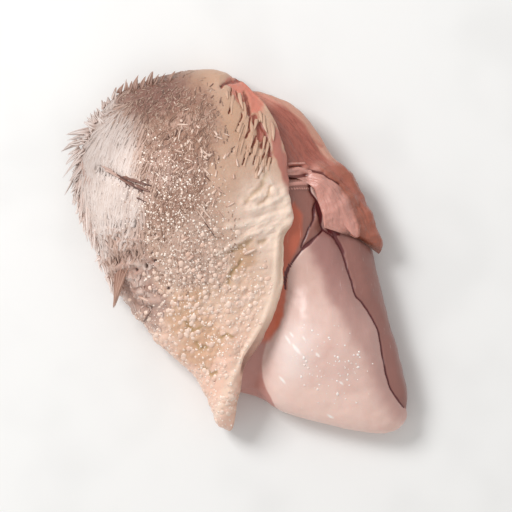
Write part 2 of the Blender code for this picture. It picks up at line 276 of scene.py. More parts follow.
def cells(points, size, seed=0):
    """Distance to the nearest scattered point, in cell sizes, and that point's random number."""
    scaled = np.asarray(points, float) / size
    cell = np.floor(scaled).astype(np.int64)
    nearest = np.full(scaled.shape[:-1], np.inf)
    number = np.zeros(scaled.shape[:-1])
    for step in itertools.product((-1, 0, 1), repeat=2):
        at = cell + np.array(step)
        shift = np.stack((table_value(at, seed), table_value(at, seed + 1)), axis=-1)
        gap = np.linalg.norm(scaled - at - 0.5 - 0.42 * shift, axis=-1)
        number = np.where(gap < nearest, table_value(at, seed + 2), number)
        nearest = np.minimum(nearest, gap)
    return nearest, number


def patch(x, y, middle, half, turn=0.0, soft=0.35):
    """1 inside a turned ellipse, falling to 0 around its border."""
    angle = math.radians(turn)
    along = (x - middle[0]) * math.cos(angle) + (y - middle[1]) * math.sin(angle)
    beside = (y - middle[1]) * math.cos(angle) - (x - middle[0]) * math.sin(angle)
    return smoothstep((1 + soft - np.hypot(along / half[0], beside / half[1])) / (2 * soft))


def zone(parts, x, y, soft=0.35):
    """The strongest of a zone's ellipses at each place."""
    return np.max([patch(x, y, *part, soft=soft) for part in parts], axis=0)


def wavering(points, size, amount, seed):
    """x and y pushed about by noise, so that a border drawn on them wavers."""
    flat = points[..., :2]
    push_x = layered_noise(flat, size, seed)
    push_y = layered_noise(flat, size, seed + 50)
    return flat[..., 0] + amount * push_x, flat[..., 1] + amount * push_y


# %% [markdown]
# From rings to a mesh
#
# Each main surface is a set of rings with equally many points, closed by a pole at both ends.
# One helper makes the mesh and stores extra numbers on its vertices. Those numbers say how much
# of a place is down, gristle or seam, and the materials read them by name.

# %% A closed surface from rings
def placed(name, data):
    """A new object at the origin."""
    piece = bpy.data.objects.new(name, data)
    bpy.context.scene.collection.objects.link(piece)
    return piece


def closed_surface(name, rings, marks):
    """A closed mesh from rings of points in mm, with a pole where the first and last one meet."""
    rows, count = rings.shape[:2]
    points = np.vstack((rings[0].mean(axis=0), rings.reshape(-1, 3), rings[-1].mean(axis=0)))
    index = 1 + np.arange(rows * count).reshape(rows, count)
    turned = np.roll(index, -1, axis=1)
    sides = np.stack((index[:-1], index[1:], turned[1:], turned[:-1]), axis=-1).reshape(-1, 4)
    last = rows * count + 1
    first_fan = [(0, a, b) for a, b in zip(index[0].tolist(), turned[0].tolist())]
    last_fan = [(last, b, a) for a, b in zip(index[-1].tolist(), turned[-1].tolist())]
    mesh = bpy.data.meshes.new(name)
    mesh.from_pydata(((points - ORIGIN) * MM).tolist(), [], sides.tolist() + first_fan + last_fan)
    for mark, values in marks.items():
        values = np.asarray(values, float)
        kind = "FLOAT_VECTOR" if values.ndim == 3 else "FLOAT"
        flat = values.reshape(rows * count, -1)
        padded = np.vstack((flat[:count].mean(axis=0), flat, flat[-count:].mean(axis=0)))
        layer = mesh.attributes.new(mark, kind, "POINT")
        layer.data.foreach_set("vector" if values.ndim == 3 else "value", padded.ravel())
    mesh.shade_smooth()
    mesh.validate()
    print(f"{name}: {len(mesh.vertices)} vertices, {len(mesh.loop_triangles)} triangles")
    return placed(name, mesh)


# %% [markdown]
# A small kit for finishes
#
# Raw meat is layers of colour: a ground, then patches of fat, blood or down over it, each with
# an uneven border. The class below keeps one material in the making. Its methods make a noise at
# a size in millimetres, lay a colour over the last one, and roughen the surface. A mark's name
# can stand wherever a value goes. Values that don't change over the surface are set on the
# shader itself. On the side towards the lamp a painted shade darkens the colours, or pale down
# would look burnt out there: LAMP_SIDE says where that starts and ends, in mm of y less x.

# %% Finishes
def linear(red, green, blue):
    """A colour given as 0 to 255, as Blender mixes it."""
    share = np.array((red, green, blue)) / 255
    straight = np.where(share < 0.04045, share / 12.92, ((share + 0.055) / 1.055) ** 2.4)
    return (*straight.tolist(), 1.0)


LAMP_SIDE = 80.0, 103.0
# The colour of the painted shade on the side towards the lamp, and how strongly it is laid
LAMP_SIDE_SHADE = (44, 12, 4)
LAMP_SIDE_SHADE_SHARE = 0.27
# The places of the colours among the sockets of a Mix node
MIX_BELOW, MIX_ABOVE, MIX_RESULT = 6, 7, 2


class Finish:
    """One material in the making."""

    def __init__(self, name, ground, roughness, **settings):
        self.material = bpy.data.materials.new(name)
        self.material.use_nodes = True
        self.tree = self.material.node_tree
        self.shader = self.tree.nodes["Principled BSDF"]
        self.shader.inputs["Roughness"].default_value = roughness
        for socket, value in settings.items():
            self.shader.inputs[socket.replace("_", " ")].default_value = value
        self.place = self.tree.nodes.new("ShaderNodeTexCoord").outputs["Object"]
        self.colour = self.tree.nodes.new("ShaderNodeRGB").outputs[0]
        self.colour.default_value = linear(*ground)
        self.relief = None

    def feed(self, socket, value):
        """Gives an input a number, another node's value, or the mark of that name."""
        if isinstance(value, str):
            value = self.mark(value)
        if isinstance(value, bpy.types.NodeSocket):
            self.tree.links.new(value, socket)
        elif value is not None:
            socket.default_value = value

    def math(self, kind, a, b=0.0):
        node = self.tree.nodes.new("ShaderNodeMath")
        node.operation = kind
        self.feed(node.inputs[0], a)
        self.feed(node.inputs[1], b)
        return node.outputs[0]

    def mark(self, name, output="Fac"):
        node = self.tree.nodes.new("ShaderNodeAttribute")
        node.attribute_name = name
        return node.outputs[output]

    def mapped(self, source, scale):
        node = self.tree.nodes.new("ShaderNodeMapping")
        self.feed(node.inputs["Vector"], source)
        node.inputs["Scale"].default_value = scale
        return node.outputs["Vector"]

    def noise(self, size, detail=3.0, rough=0.6, source=None, warp=0.0):
        """Noise from 0 to 1 that changes over about size millimetres."""
        node = self.tree.nodes.new("ShaderNodeTexNoise")
        node.inputs["Scale"].default_value = 1 / (size * MM)
        node.inputs["Detail"].default_value = detail
        node.inputs["Roughness"].default_value = rough
        node.inputs["Distortion"].default_value = warp
        self.feed(node.inputs["Vector"], source or self.place)
        return node.outputs["Fac"]

    def between(self, value, low, high):
        """0 below low, 1 above high, smooth between. Low may be the larger one."""
        node = self.tree.nodes.new("ShaderNodeMapRange")
        node.interpolation_type = "SMOOTHSTEP"
        self.feed(node.inputs["Value"], value)
        node.inputs["From Min"].default_value = low
        node.inputs["From Max"].default_value = high
        return node.outputs["Result"]

    def patchy(self, mark, noise, wild=0.7, edge=0.2):
        """A mark with an uneven border."""
        push = self.math("MULTIPLY", self.math("SUBTRACT", noise, 0.5), wild)
        return self.between(self.math("ADD", mark, push), 0.5 - edge, 0.5 + edge)

    def cover(self, colour, share, strength=1.0):
        """Lays a colour over the ones before, as far as share times strength says."""
        if strength != 1.0:
            share = self.math("MULTIPLY", share, strength)
        node = self.tree.nodes.new("ShaderNodeMix")
        node.data_type = "RGBA"
        self.feed(node.inputs["Factor"], share)
        self.feed(node.inputs[MIX_BELOW], self.colour)
        self.feed(node.inputs[MIX_ABOVE], linear(*colour))
        self.colour = node.outputs[MIX_RESULT]

    def paint_lamp_side_shade(self):
        """Lays the painted shade over the side towards the lamp."""
        node = self.tree.nodes.new("ShaderNodeSeparateXYZ")
        self.feed(node.inputs[0], self.place)
        towards = self.math("SUBTRACT", node.outputs["Y"], node.outputs["X"])
        first, last = LAMP_SIDE
        self.cover(LAMP_SIDE_SHADE, self.between(towards, first * MM, last * MM), LAMP_SIDE_SHADE_SHARE)

    def roughen(self, height, depth):
        """Adds a bump of that depth in millimetres."""
        node = self.tree.nodes.new("ShaderNodeBump")
        node.inputs["Distance"].default_value = depth * MM
        node.inputs["Strength"].default_value = 1.0
        self.feed(node.inputs["Height"], height)
        self.feed(node.inputs["Normal"], self.relief)
        self.relief = node.outputs["Normal"]

    def done(self):
        self.feed(self.shader.inputs["Base Color"], self.colour)
        if self.relief:
            self.feed(self.shader.inputs["Normal"], self.relief)
        return self.material


DAMP = {"Coat_Weight": 0.22, "Coat_Roughness": 0.34, "Subsurface_Weight": 0.12}
WET = {"Coat_Weight": 0.35, "Coat_Roughness": 0.18, "Subsurface_Weight": 0.12}
FLESH_GLOW = {"Subsurface_Radius": (1.0, 0.45, 0.3), "Subsurface_Scale": 0.004}

# %% [markdown]
# The fillet
#
# The pale muscle lies under everything and shows at the lower right as a smooth, wet lobe. It
# is parted from its neighbours by thin dark red seams. A sculpted mesh could do it, but the
# dome already has the form, so rings are laid round the lobe's middle, close together there,
# and lowered where the strap of muscle, the furrow beside the skin and the seams lie.

# %% Sizes of the fillet
MUSCLE_HIDDEN = ((-2.5, 71.5), (4.0, 58.5), (11.5, 44.0), (20.0, 33.5))
MUSCLE_TORN = ((28.5, 31.0), (33.6, 26.8), (36.2, 20.3), (37.8, 15.0), (38.6, 9.8))
MUSCLE_OUTER = (
    (6.0, 72.5), (13.0, 70.0), (29.0, 60.5), (42.0, 42.5), (52.0, 25.0),
    (59.0, 9.0), (62.5, -2.0),
)
HOLLOW = 5.0
HOLLOW_BLEND = 10.0
HOLLOW_MARGIN = 8.0
HOLLOW_BEYOND = 1.25
LOBE_MIDDLE = (36.0, -28.0)
FURROW = (
    (30.5, 15.5), (29.0, 4.5), (25.0, -8.5), (20.8, -22.0), (15.4, -35.0),
    (11.6, -46.0), (8.5, -57.0), (6.0, -68.0), (5.5, -80.0),
)
FURROW_DEPTH = 6.5
FURROW_WIDTH = 9.0
FURROW_TOP = 15.0
FURROW_DEEPENS = 50.0
SEAM = (
    (39.6, 9.5), (46.0, 4.8), (49.3, -3.6), (52.4, -12.0), (55.0, -19.6), (60.2, -26.2),
    (64.0, -33.2), (65.3, -39.7), (66.6, -48.6), (69.0, -58.3), (72.4, -64.2), (76.5, -69.0),
)
SEAM_DEPTH = 1.5
SEAM_WIDTH = 3.5
LEFT_SEAM = (
    (39.6, 9.5), (34.3, 4.2), (29.9, 0.2), (26.0, -5.5), (23.8, -10.8), (22.4, -16.5),
)
FLAP_SEAM = (
    (34.9, 32.6), (33.0, 30.0), (33.3, 25.7), (35.2, 23.5), (36.8, 20.9), (38.4, 16.0),
    (37.8, 13.0), (39.6, 9.5),
)
BRANCH_SEAM = ((36.0, 21.0), (35.0, 14.5), (32.6, 9.2), (29.5, 1.5))
SEAM_LINE_WIDTH = 0.5
SEAM_LINE_DEPTH = 0.8
# The wide stretches of the seams, filled with dark blood, and two dark pools of painted shadow,
# under the flap's edge at (44.4, 8.8) and between the strings at (27.0, 32.2): middle, half sizes
# and turn
BLOOD_AND_SHADOW_POOLS = (
    ((37.7, 16.5), (1.1, 4.6), 12), ((35.3, 17.0), (0.8, 4.5), -8),
    ((46.4, 4.2), (0.9, 6.2), 26), ((44.4, 8.8), (3.4, 1.2), -22),
    ((33.0, 3.0), (5.0, 0.9), 42), ((23.5, -10.5), (0.7, 5.0), -14),
    ((27.0, 32.2), (5.2, 1.4), 4),
)
# Small streaks of light on the wet lobe
GLINTS = (
    ((23.1, -39.6), (2.0, 0.6), -54), ((27.3, -43.1), (2.8, 0.8), -52),
    ((24.8, -36.8), (1.3, 0.5), -50), ((21.2, -57.0), (1.9, 0.6), -50),
    ((42.5, -72.7), (1.5, 0.5), -25), ((36.5, -45.5), (1.1, 0.5), -50),
    ((30.5, -38.0), (1.2, 0.4), -60), ((47.0, -58.0), (1.0, 0.5), -40),
)
# Pale strings of membrane between the skin and the torn flap, and the gaps beside them, carved in
# and dark with painted shadow
STRINGS = (
    (((23.6, 34.6), (28.5, 35.3), (33.0, 34.4)), 0.95),
    (((22.8, 28.6), (28.0, 29.2), (32.8, 29.4)), 0.85),
    (((22.8, 26.8), (32.8, 27.0)), 0.3), (((24.0, 37.8), (31.0, 38.4)), 0.5),
)
SHADOW_GAPS = (
    (((32.5, 35.0), (37.6, 33.1)), 0.9), (((37.6, 33.1), (40.5, 30.5), (44.2, 28.1)), 0.5),
    (((23.6, 32.0), (27.5, 32.2), (31.5, 33.0)), 1.0), (((24.5, 36.6), (30.0, 37.0)), 0.35),
)
# The pale lobe's left edge, with painted shade in the groove left of it, and the line where the
# painted shade on its upper plane begins
LOBE_EDGE = (
    (26.0, -5.5), (22.4, -16.5), (21.6, -23.0), (18.6, -29.3), (14.4, -37.6), (11.8, -46.0),
    (10.9, -53.2), (12.6, -60.5), (17.2, -68.4), (22.0, -78.0),
)
PLANE_EDGE = (
    (32.0, 3.0), (36.0, -6.0), (42.6, -22.9), (50.8, -35.9), (57.0, -48.6), (62.8, -61.6),
    (69.0, -74.0),
)
# The deep pocket between the skin's cut, the torn flap and the lobe, where painted shade lies
SHADED_POCKET = (
    (18.0, 36.0), (34.3, 32.8), (33.0, 25.7), (36.8, 20.9), (38.2, 16.0), (39.4, 9.7),
    (34.3, 4.4), (29.9, 0.4), (25.6, -6.0), (22.4, -17.4), (16.0, -17.0),
)
RUST = (
    (26.5, 21.0), (29.9, 15.6), (29.5, 6.8), (27.3, 0.2), (24.2, -7.7), (22.7, -17.4),
    (20.9, -29.0), (17.0, -38.0), (13.4, -46.0), (8.0, -44.7), (12.0, -37.0), (15.0, -26.0),
    (16.0, -13.0), (16.0, 0.2), (18.0, 6.8), (20.0, 15.6),
)
FILLET_SPOKES, FILLET_RINGS, FILLET_CROWDING = 520, 180, 1.5


def hollow_path():
    """The outline of the hollow that holds the shoulder muscle, wider where that is hidden."""
    hidden = [(x - HOLLOW_MARGIN, y) for x, y in MUSCLE_HIDDEN]
    beyond = MIDDLE + (np.array(MUSCLE_OUTER) - MIDDLE) * HOLLOW_BEYOND
    return np.vstack((hidden, MUSCLE_TORN, beyond[::-1]))


HOLLOW_PATH = hollow_path()
FURROW_PATH = smooth_path(FURROW, steps=4)
SEAM_PATH = smooth_path(SEAM, steps=4)
LEFT_SEAM_PATH = smooth_path(LEFT_SEAM, steps=4)
FLAP_SEAM_PATH = smooth_path(FLAP_SEAM, steps=4)
BRANCH_SEAM_PATH = smooth_path(BRANCH_SEAM, steps=4)
SHADED_SIDE_BEYOND_SEAM = np.vstack((SEAM_PATH, ((110.0, -110.0), (110.0, 10.0), (60.0, 30.0))))
LEFT_OF_LOBE = np.vstack((smooth_path(LOBE_EDGE, steps=4), ((-40.0, -90.0), (-40.0, 0.0))))
SHADED_UPPER_PLANE = np.vstack((smooth_path(PLANE_EDGE, steps=4), ((120.0, -80.0), (60.0, 40.0))))


def hollow_depth(x, y):
    return HOLLOW * smoothstep(inside_by(HOLLOW_PATH, x, y) / HOLLOW_BLEND)


def seam_line(x, y):
    """1 in the thin dark seams and pools, two pools being painted shadow, 0 away from them."""
    paths = SEAM_PATH, LEFT_SEAM_PATH, FLAP_SEAM_PATH, BRANCH_SEAM_PATH
    nearest = np.min([distance_to(path, x, y) for path in paths], axis=0)
    pools = np.max([patch(x, y, *pool) for pool in BLOOD_AND_SHADOW_POOLS], axis=0)
    return np.maximum(bell(nearest / SEAM_LINE_WIDTH), pools)


def fillet_relief(points):
    """How far the fillet stands out from the dome, below 0 where it is hollowed."""
    x, y = points[..., 0], points[..., 1]
    furrow = bell(distance_to(FURROW_PATH, x, y) / FURROW_WIDTH)
    furrow *= smoothstep((FURROW_TOP - y) / FURROW_DEEPENS)
    seam = bell(distance_to(SEAM_PATH, x, y) / SEAM_WIDTH)
    swell = 0.35 * layered_noise(points, 14, seed=3) + 0.12 * noise(points, 3.0, seed=8)
    wavy_x, wavy_y = wavering(points, 9, 0.5, seed=20)
    line = SEAM_LINE_DEPTH * seam_line(wavy_x, wavy_y)
    line = line + strokes(SHADOW_GAPS, x, y) - 0.9 * strokes(STRINGS, x, y)
    return swell - hollow_depth(x, y) - FURROW_DEPTH * furrow - SEAM_DEPTH * seam - line


# %% The fillet's surface
# Broad patches of the lobe, painted shade on its upper flank, a lighter base, painted light on its
# left part and the place of the drops: the middle, half sizes, turn in degrees and softness of each
LOBE_PATCHES = {
    "flank": ((30.0, -15.0), (8.0, 15.0), -15, 0.9),
    "base": ((40.0, -68.0), (24.0, 9.0), -12, 0.8),
    "bright": ((25.0, -43.0), (9.0, 19.0), -10, 0.9),
    "drops": ((42.0, -50.0), (13.0, 15.0), 40, 0.8),
}


def fillet_marks(points):
    """What the fillet's finish reads: seams, blood, rust, painted shade on planes and hollows, and
    painted light.
    """
    x, y = wavering(points, 9, 1.0, seed=30)
    fine_x, fine_y = wavering(points, 9, 0.5, seed=20)
    patches = {
        name: patch(x, y, middle, halves, turn=turn, soft=soft)
        for name, (middle, halves, turn, soft) in LOBE_PATCHES.items()
    }
    patches["drops"] = patches["drops"] * (points[..., 2] > WAIST)
    return {
        **patches,
        "seam": seam_line(fine_x, fine_y),
        # The next four marks place painted shade: beyond the seam, in the groove, on the upper plane
        # and in the pocket under the flap
        "beyond": within(SHADED_SIDE_BEYOND_SEAM, fine_x, fine_y, 2.0),
        "groove": within(LEFT_OF_LOBE, fine_x, fine_y, 2.2),
        "plane": within(SHADED_UPPER_PLANE, x, y, 11.0),
        "tissue": within(SHADED_POCKET, fine_x, fine_y, 1.6),
        "rust": within(RUST, fine_x, fine_y, 4.5) * smoothstep((y + 48) / 16),
        "glints": zone(GLINTS, fine_x, fine_y, soft=0.5),
        "strings": strokes(STRINGS, points[..., 0], points[..., 1]),
        "gaps": strokes(SHADOW_GAPS, points[..., 0], points[..., 1]),
        # How far up the lobe: it deepens the painted shade on the upper plane and keeps the rust's
        # painted light low
        "upper": smoothstep((y + 42.0) / 40.0),
    }


def make_fillet():
    outline = smooth_path(OUTLINE, closed=True)
    spread = resampled(np.vstack((outline, outline[:1])), FILLET_SPOKES + 1)[:-1] - MIDDLE
    border = on_disc(np.arctan2(spread[:, 1], spread[:, 0]), LAST_REACH)
    middle = disc_of(LOBE_MIDDLE)
    shares = np.linspace(0, 1, FILLET_RINGS + 1)[1:] ** FILLET_CROWDING
    disc = middle + (border - middle) * shares[:, None, None]
    base = dome(disc[..., 0], disc[..., 1])
    fade = 1 - smoothstep((np.linalg.norm(disc, axis=-1) - 1.05) / 0.3)
    rings = lifted(disc, fillet_relief(base) * fade)
    rings[-1, :, 2] = 0
    last = rings[-1] * 0.5 + rings[-1].mean(axis=0) * 0.5
    rings = np.concatenate((rings, last[None]))
    base = np.concatenate((base, base[-1:]))
    return closed_surface("fillet_surface", rings, fillet_marks(base))


fillet = make_fillet()

# %% [markdown]
# The fillet's finish
#
# Bare breast meat is pale pink and a little translucent. The finish starts pale, paints light on
# the lobe's left part and mauve shade on its upper plane, its far side, the groove and the pocket
# under the flap, lays rust and burgundy over it by the stored marks, and adds faint long fibres.
# A coat makes it wet.

# %% The fillet's finish
def fillet_finish():
    finish = Finish("pale wet meat", (232, 197, 186), 0.36, **DAMP, **FLESH_GLOW)
    soft = finish.noise(9, detail=4)
    fine = finish.noise(2.2, detail=4, rough=0.7)
    fibre = finish.noise(1.4, detail=3, source=finish.mapped(finish.place, (1.0, 0.12, 1.0)))
    finish.cover((224, 184, 172), finish.between(soft, 0.42, 0.75))
    # Painted light on the lobe's left part, and painted shade on its upper flank
    finish.cover((244, 226, 219), "bright", 0.8)
    finish.cover((205, 168, 156), "flank", 0.85)
    finish.cover((246, 212, 199), "base", 0.8)
    # Painted shade on the lobe's upper plane, deeper still towards the top
    plane = finish.patchy("plane", soft, 0.25, 0.5)
    finish.cover((200, 158, 149), plane)
    finish.cover((166, 119, 112), finish.math("MULTIPLY", plane, "upper"))
    # Painted shade in the groove between the skin and the lobe
    finish.cover((200, 144, 134), finish.patchy("groove", fine, 0.25, 0.3))
    # Painted shade on the lobe's far side beyond the seam
    finish.cover((150, 102, 93), finish.patchy("beyond", fine, 0.25, 0.3))
    # Painted shade in the deep pocket between the skin's cut, the flap and the lobe
    finish.cover((150, 99, 88), finish.patchy("tissue", fine, 0.25, 0.3))
    rust = finish.patchy("rust", soft, 0.3, 0.35)
    finish.cover((196, 102, 76), rust)
    # Lower down the rust is lighter: painted light against the shade of the furrow
    low = finish.math("SUBTRACT", 1.0, "upper")
    finish.cover((236, 132, 102), finish.math("MULTIPLY", rust, low))
    # Dark blood in the seams and pools; two pools, under the flap's edge and between the strings, are
    # painted shadow
    finish.cover((104, 42, 43), finish.between("seam", 0.25, 0.7))
    # Painted shadow in the carved gaps beside the strings
    finish.cover((118, 58, 50), finish.between("gaps", 0.3, 0.8))
    finish.cover((206, 148, 136), finish.between("strings", 0.3, 0.7))
    finish.cover((255, 248, 244), "glints", 0.85)
    finish.cover((250, 240, 235), finish.between(fibre, 0.62, 0.82), 0.2)
    finish.roughen(fibre, 0.08)
    finish.roughen(fine, 0.1)
    return finish.done()


fillet.data.materials.append(fillet_finish())

# %% [markdown]
# The skin
#
# The skin is a thick, loose sheet with its feathers half plucked: matted white down at the
# upper left, stubbly brown skin beside it, smooth cream towards the cut, and a field of round
# goose bumps down to its hanging point. Its border is drawn on the disc, rings close in on its
# middle for the outer face, and the same rings go back underneath, so it has a real thickness.

# %% Sizes of the skin
SKIN_REACH = 1.2
SKIN_MIDDLE = (-25.0, 10.0)
SKIN_CUT = (
    (7.0, 69.5), (12.5, 63.5), (16.5, 56.5), (20.0, 48.5), (22.0, 39.0),
    (23.0, 26.5), (25.0, 12.5), (21.6, 6.0), (21.2, -4.0), (21.3, -13.0), (19.8, -22.0),
    (16.4, -31.5), (11.1, -41.0), (5.4, -49.5), (2.6, -57.5), (1.0, -65.0),
)
SKIN_SIDE_TURNS = math.radians(91), math.radians(263)
TIP_REACH = 1.12
SKIN_SIDE_SPOKES, SKIN_CUT_SPOKES = 300, 330
SKIN_OUTER_RINGS, SKIN_INNER_RINGS, SKIN_CROWDING = 128, 14, 1.2
# The rounded cut edge: each row is its share of the way out and of the skin's thickness
SKIN_EDGE = ((0.988, 0.94), (0.996, 0.78), (1.0, 0.5), (0.998, 0.2))
SKIN_FACE_SHARE = 0.975
SKIN_INNER_SHARE = 0.99
CUT_PATH = smooth_path((*SKIN_CUT, TIP), steps=6)


def skin_border():
    """The skin's edge on the disc: round the hidden side, up the cut and out to the point."""
    first, last = SKIN_SIDE_TURNS
    side = on_disc(np.linspace(first, last, SKIN_SIDE_SPOKES), SKIN_REACH)
    tip = on_disc(np.array([TIP_TURN]), TIP_REACH)
    corner = on_disc(np.array([first]), 1.05)
    cut = smooth_path(SKIN_CUT)[::-1]
    ragged = noise(cut, 5.0, seed=2) * 0.5 + noise(cut, 1.6, seed=4) * 0.25
    cut = disc_of(cut + ragged[:, None] * (0.9, 0.3), hanging=True)
    round_side = resampled(np.vstack((side, tip)), SKIN_SIDE_SPOKES + 1)
    up_cut = resampled(np.vstack((tip, cut, corner, side[:1])), SKIN_CUT_SPOKES + 1)
    return np.vstack((round_side[:-1], up_cut[:-1]))


# %% [markdown]
# Where the skin is what
#
# A plucked skin is a map of zones. Each zone is a soft ellipse or two with a wavering border,
# in millimetres on the breast. The same marks steer the relief here, the colours in the finish,
# and later where down, quills and beads are scattered, so all three always agree.

# %% Zones of the skin
DOWN_ZONE = (
    ((-50.0, 33.0), (12.5, 23.0), 12), ((-60.0, 22.0), (11.0, 22.0), -14),
    ((-57.5, 46.0), (11.0, 14.0), -30),
)
STUBBLE_ZONE = (
    ((-28.0, 55.0), (19.0, 20.0), 15), ((-26.0, 34.0), (15.0, 22.0), 0),
    ((-46.0, 64.0), (13.0, 8.0), 28),
)
MAUVE_ZONE = (((-34.0, 66.5), (18.0, 8.5), 12), ((-50.0, 26.5), (5.0, 2.0), -18))
GLOW_ZONE = (((15.0, 12.0), (18.0, 20.0), 15), ((8.0, -20.0), (15.0, 26.0), -15))
SPECK_ZONE = (((-27.0, 20.0), (19.0, 23.0), 25), ((-19.0, 3.0), (14.0, 18.0), 30))
GRAIN_ZONE = (
    ((-10.0, -22.0), (24.0, 27.0), -35), ((-1.0, -50.0), (15.0, 26.0), 10),
    ((-25.0, -41.0), (19.0, 6.0), -46),
)
FOLD_ZONE = (((-45.0, -8.0), (14.0, 24.0), 30),)
TAN_ZONE = (
    ((-20.0, -24.0), (9.0, 9.0), -20), ((4.0, 0.0), (6.0, 9.0), 0), ((-12.0, -39.0), (9.0, 9.0), -40),
)
BEIGE_ZONE = (((-1.0, 57.0), (7.0, 14.0), 8), ((-12.0, 76.0), (17.0, 5.0), 0))
SALMON_ZONE = (((5.0, 66.0), (9.0, 4.6), -48), ((1.0, 70.5), (6.0, 2.4), -20))
MARGIN_ZONE = (((20.4, 39.0), (4.0, 14.0), 8),)
WRINKLE_ZONE = (((13.0, 15.0), (12.0, 14.0), 20),)
# The cut edge rounds over by RIM_DROP within RIM_WIDTH of the cut, below RIM_TOP
RIM_WIDTH = 2.8
RIM_DROP = 1.7
RIM_TOP, RIM_FADE = 14.0, 6.0
# Where the painted highlight along the cut lies, measured from the cut, and its width
RIM_HIGHLIGHT_PLACE, RIM_HIGHLIGHT_WIDTH = 4.2, 1.4
EDGE_KNOBS = (((22.5, 12.0), 1.2, 2.2), ((14.5, 19.5), 0.7, 2.0), ((20.0, 27.5), 0.6, 2.4))
# Red gaps between the frayed strands, olive hollows, folds and light creases, each a path and
# its half width
FRAY_GAPS = (
    (((-6.4, 69.7), (-3.5, 71.7), (-0.4, 72.6), (4.4, 73.3)), 0.6),
    (((-2.0, 68.9), (-1.5, 64.5), (-1.8, 60.9), (-2.6, 58.3)), 0.32),
    (((0.9, 68.4), (1.8, 65.8), (3.3, 63.6)), 0.3),
    (((4.2, 68.0), (5.3, 64.2), (6.4, 61.0), (6.7, 58.0)), 0.8),
    (((6.8, 57.0), (5.9, 53.0), (5.3, 49.9), (4.6, 47.7)), 0.4),
    (((8.2, 57.0), (9.4, 53.4), (10.3, 50.4), (10.2, 47.5)), 1.3),
    (((11.0, 53.6), (12.4, 50.6), (12.6, 47.6), (11.4, 44.4)), 1.4),
    (((14.2, 45.0), (15.2, 41.6), (14.6, 38.0)), 1.1),
    (((8.8, 48.6), (7.3, 44.2), (5.9, 40.7)), 0.4),
    (((12.3, 41.1), (11.2, 38.5)), 0.4),
    (((2.6, 58.3), (1.8, 53.9), (0.4, 50.4)), 0.28),
    (((5.3, 44.2), (4.0, 39.8), (3.1, 36.7)), 0.28),
    (((8.4, 39.8), (7.3, 36.3)), 0.3),
    (((18.5, 56.5), (19.8, 52.6), (21.1, 49.5)), 0.35),
)
OLIVE_HOLLOWS = (
    (((1.3, 3.1), (4.0, 3.7), (6.8, 4.6)), 0.8),
    (((9.9, 3.7), (12.8, 4.4)), 0.8),
    (((-1.8, -13.4), (-0.9, -8.1), (2.6, -4.0)), 0.8),
    (((12.8, 32.8), (10.8, 27.9), (6.6, 24.0), (4.0, 20.9)), 0.9),
    (((15.0, 27.5), (12.3, 22.7), (9.2, 20.0)), 0.7),
    (((-2.6, 0.2), (1.8, 1.5), (5.7, 3.3)), 0.6),
    (((-19.8, -30.1), (-16.7, -33.7), (-13.6, -32.3)), 0.9),
    (((-15.4, -38.9), (-13.6, -42.0), (-11.0, -41.6)), 0.9),
    (((-11.4, -50.8), (-8.8, -53.0), (-5.7, -52.6)), 0.8),
    (((-5.3, -38.1), (-2.2, -36.3), (-0.4, -37.2)), 0.6),
)
FOLD_SHADES = (
    (((-49.3, -8.6), (-46.2, -12.5), (-44.4, -17.4)), 1.2),
    (((-37.4, -5.1), (-32.6, -7.7), (-29.9, -12.5)), 1.6),
    (((-44.9, -13.4), (-40.0, -15.6), (-35.2, -14.3)), 0.9),
    (((-50.2, -16.1), (-51.5, -21.8)), 0.6),
    (((-53.7, 4.6), (-52.8, -2.4), (-54.1, -7.7)), 1.2),
    (((-37.8, -29.7), (-36.5, -33.2), (-33.9, -36.3)), 0.8),
    (((-57.6, 5.5), (-56.8, 0.2), (-58.1, -3.3)), 1.0),
    (((-43.6, -19.1), (-39.6, -23.1), (-34.8, -24.0)), 0.9),
    (((-47.1, 6.4), (-44.4, 2.0), (-42.2, -2.4)), 1.0),
    (((-41.4, 4.6), (-37.4, -0.2)), 0.9),
)
FOLD_LIGHTS = (
    (((-44.4, -11.0), (-39.2, -13.6)), 1.3),
    (((-43.6, -3.7), (-39.2, -5.3)), 1.2),
    (((-46.2, -25.3), (-41.4, -27.9)), 1.3),
    (((-37.4, -35.9), (-33.9, -38.5)), 1.1),
    (((-48.0, -17.8), (-44.4, -20.5)), 1.0),
    (((-51.0, 2.4), (-48.8, -1.5)), 1.0),
    (((-32.6, -5.1), (-29.9, -7.3)), 0.8),
    (((-53.7, 11.2), (-51.5, 5.5)), 1.1),
    (((-46.6, 10.8), (-44.4, 5.5)), 1.0),
    (((-40.0, -16.5), (-36.1, -18.3)), 1.0),
)
LIGHT_CREASES = (
    (((-3.5, 10.8), (6.2, 12.5), (15.8, 14.3), (22.9, 16.5)), 1.3),
    (((-8.4, -0.0), (-0.9, 3.7), (7.0, 7.7), (15.8, 9.5)), 1.0),
    (((5.3, 18.3), (12.3, 19.1), (18.0, 21.8)), 1.2),
    (((12.3, 30.6), (15.0, 28.4), (16.7, 24.0)), 1.1),
    (((7.0, 22.7), (9.7, 24.0)), 1.2),
    (((21.6, 9.0), (23.8, 10.8), (25.1, 13.4)), 1.2),
)
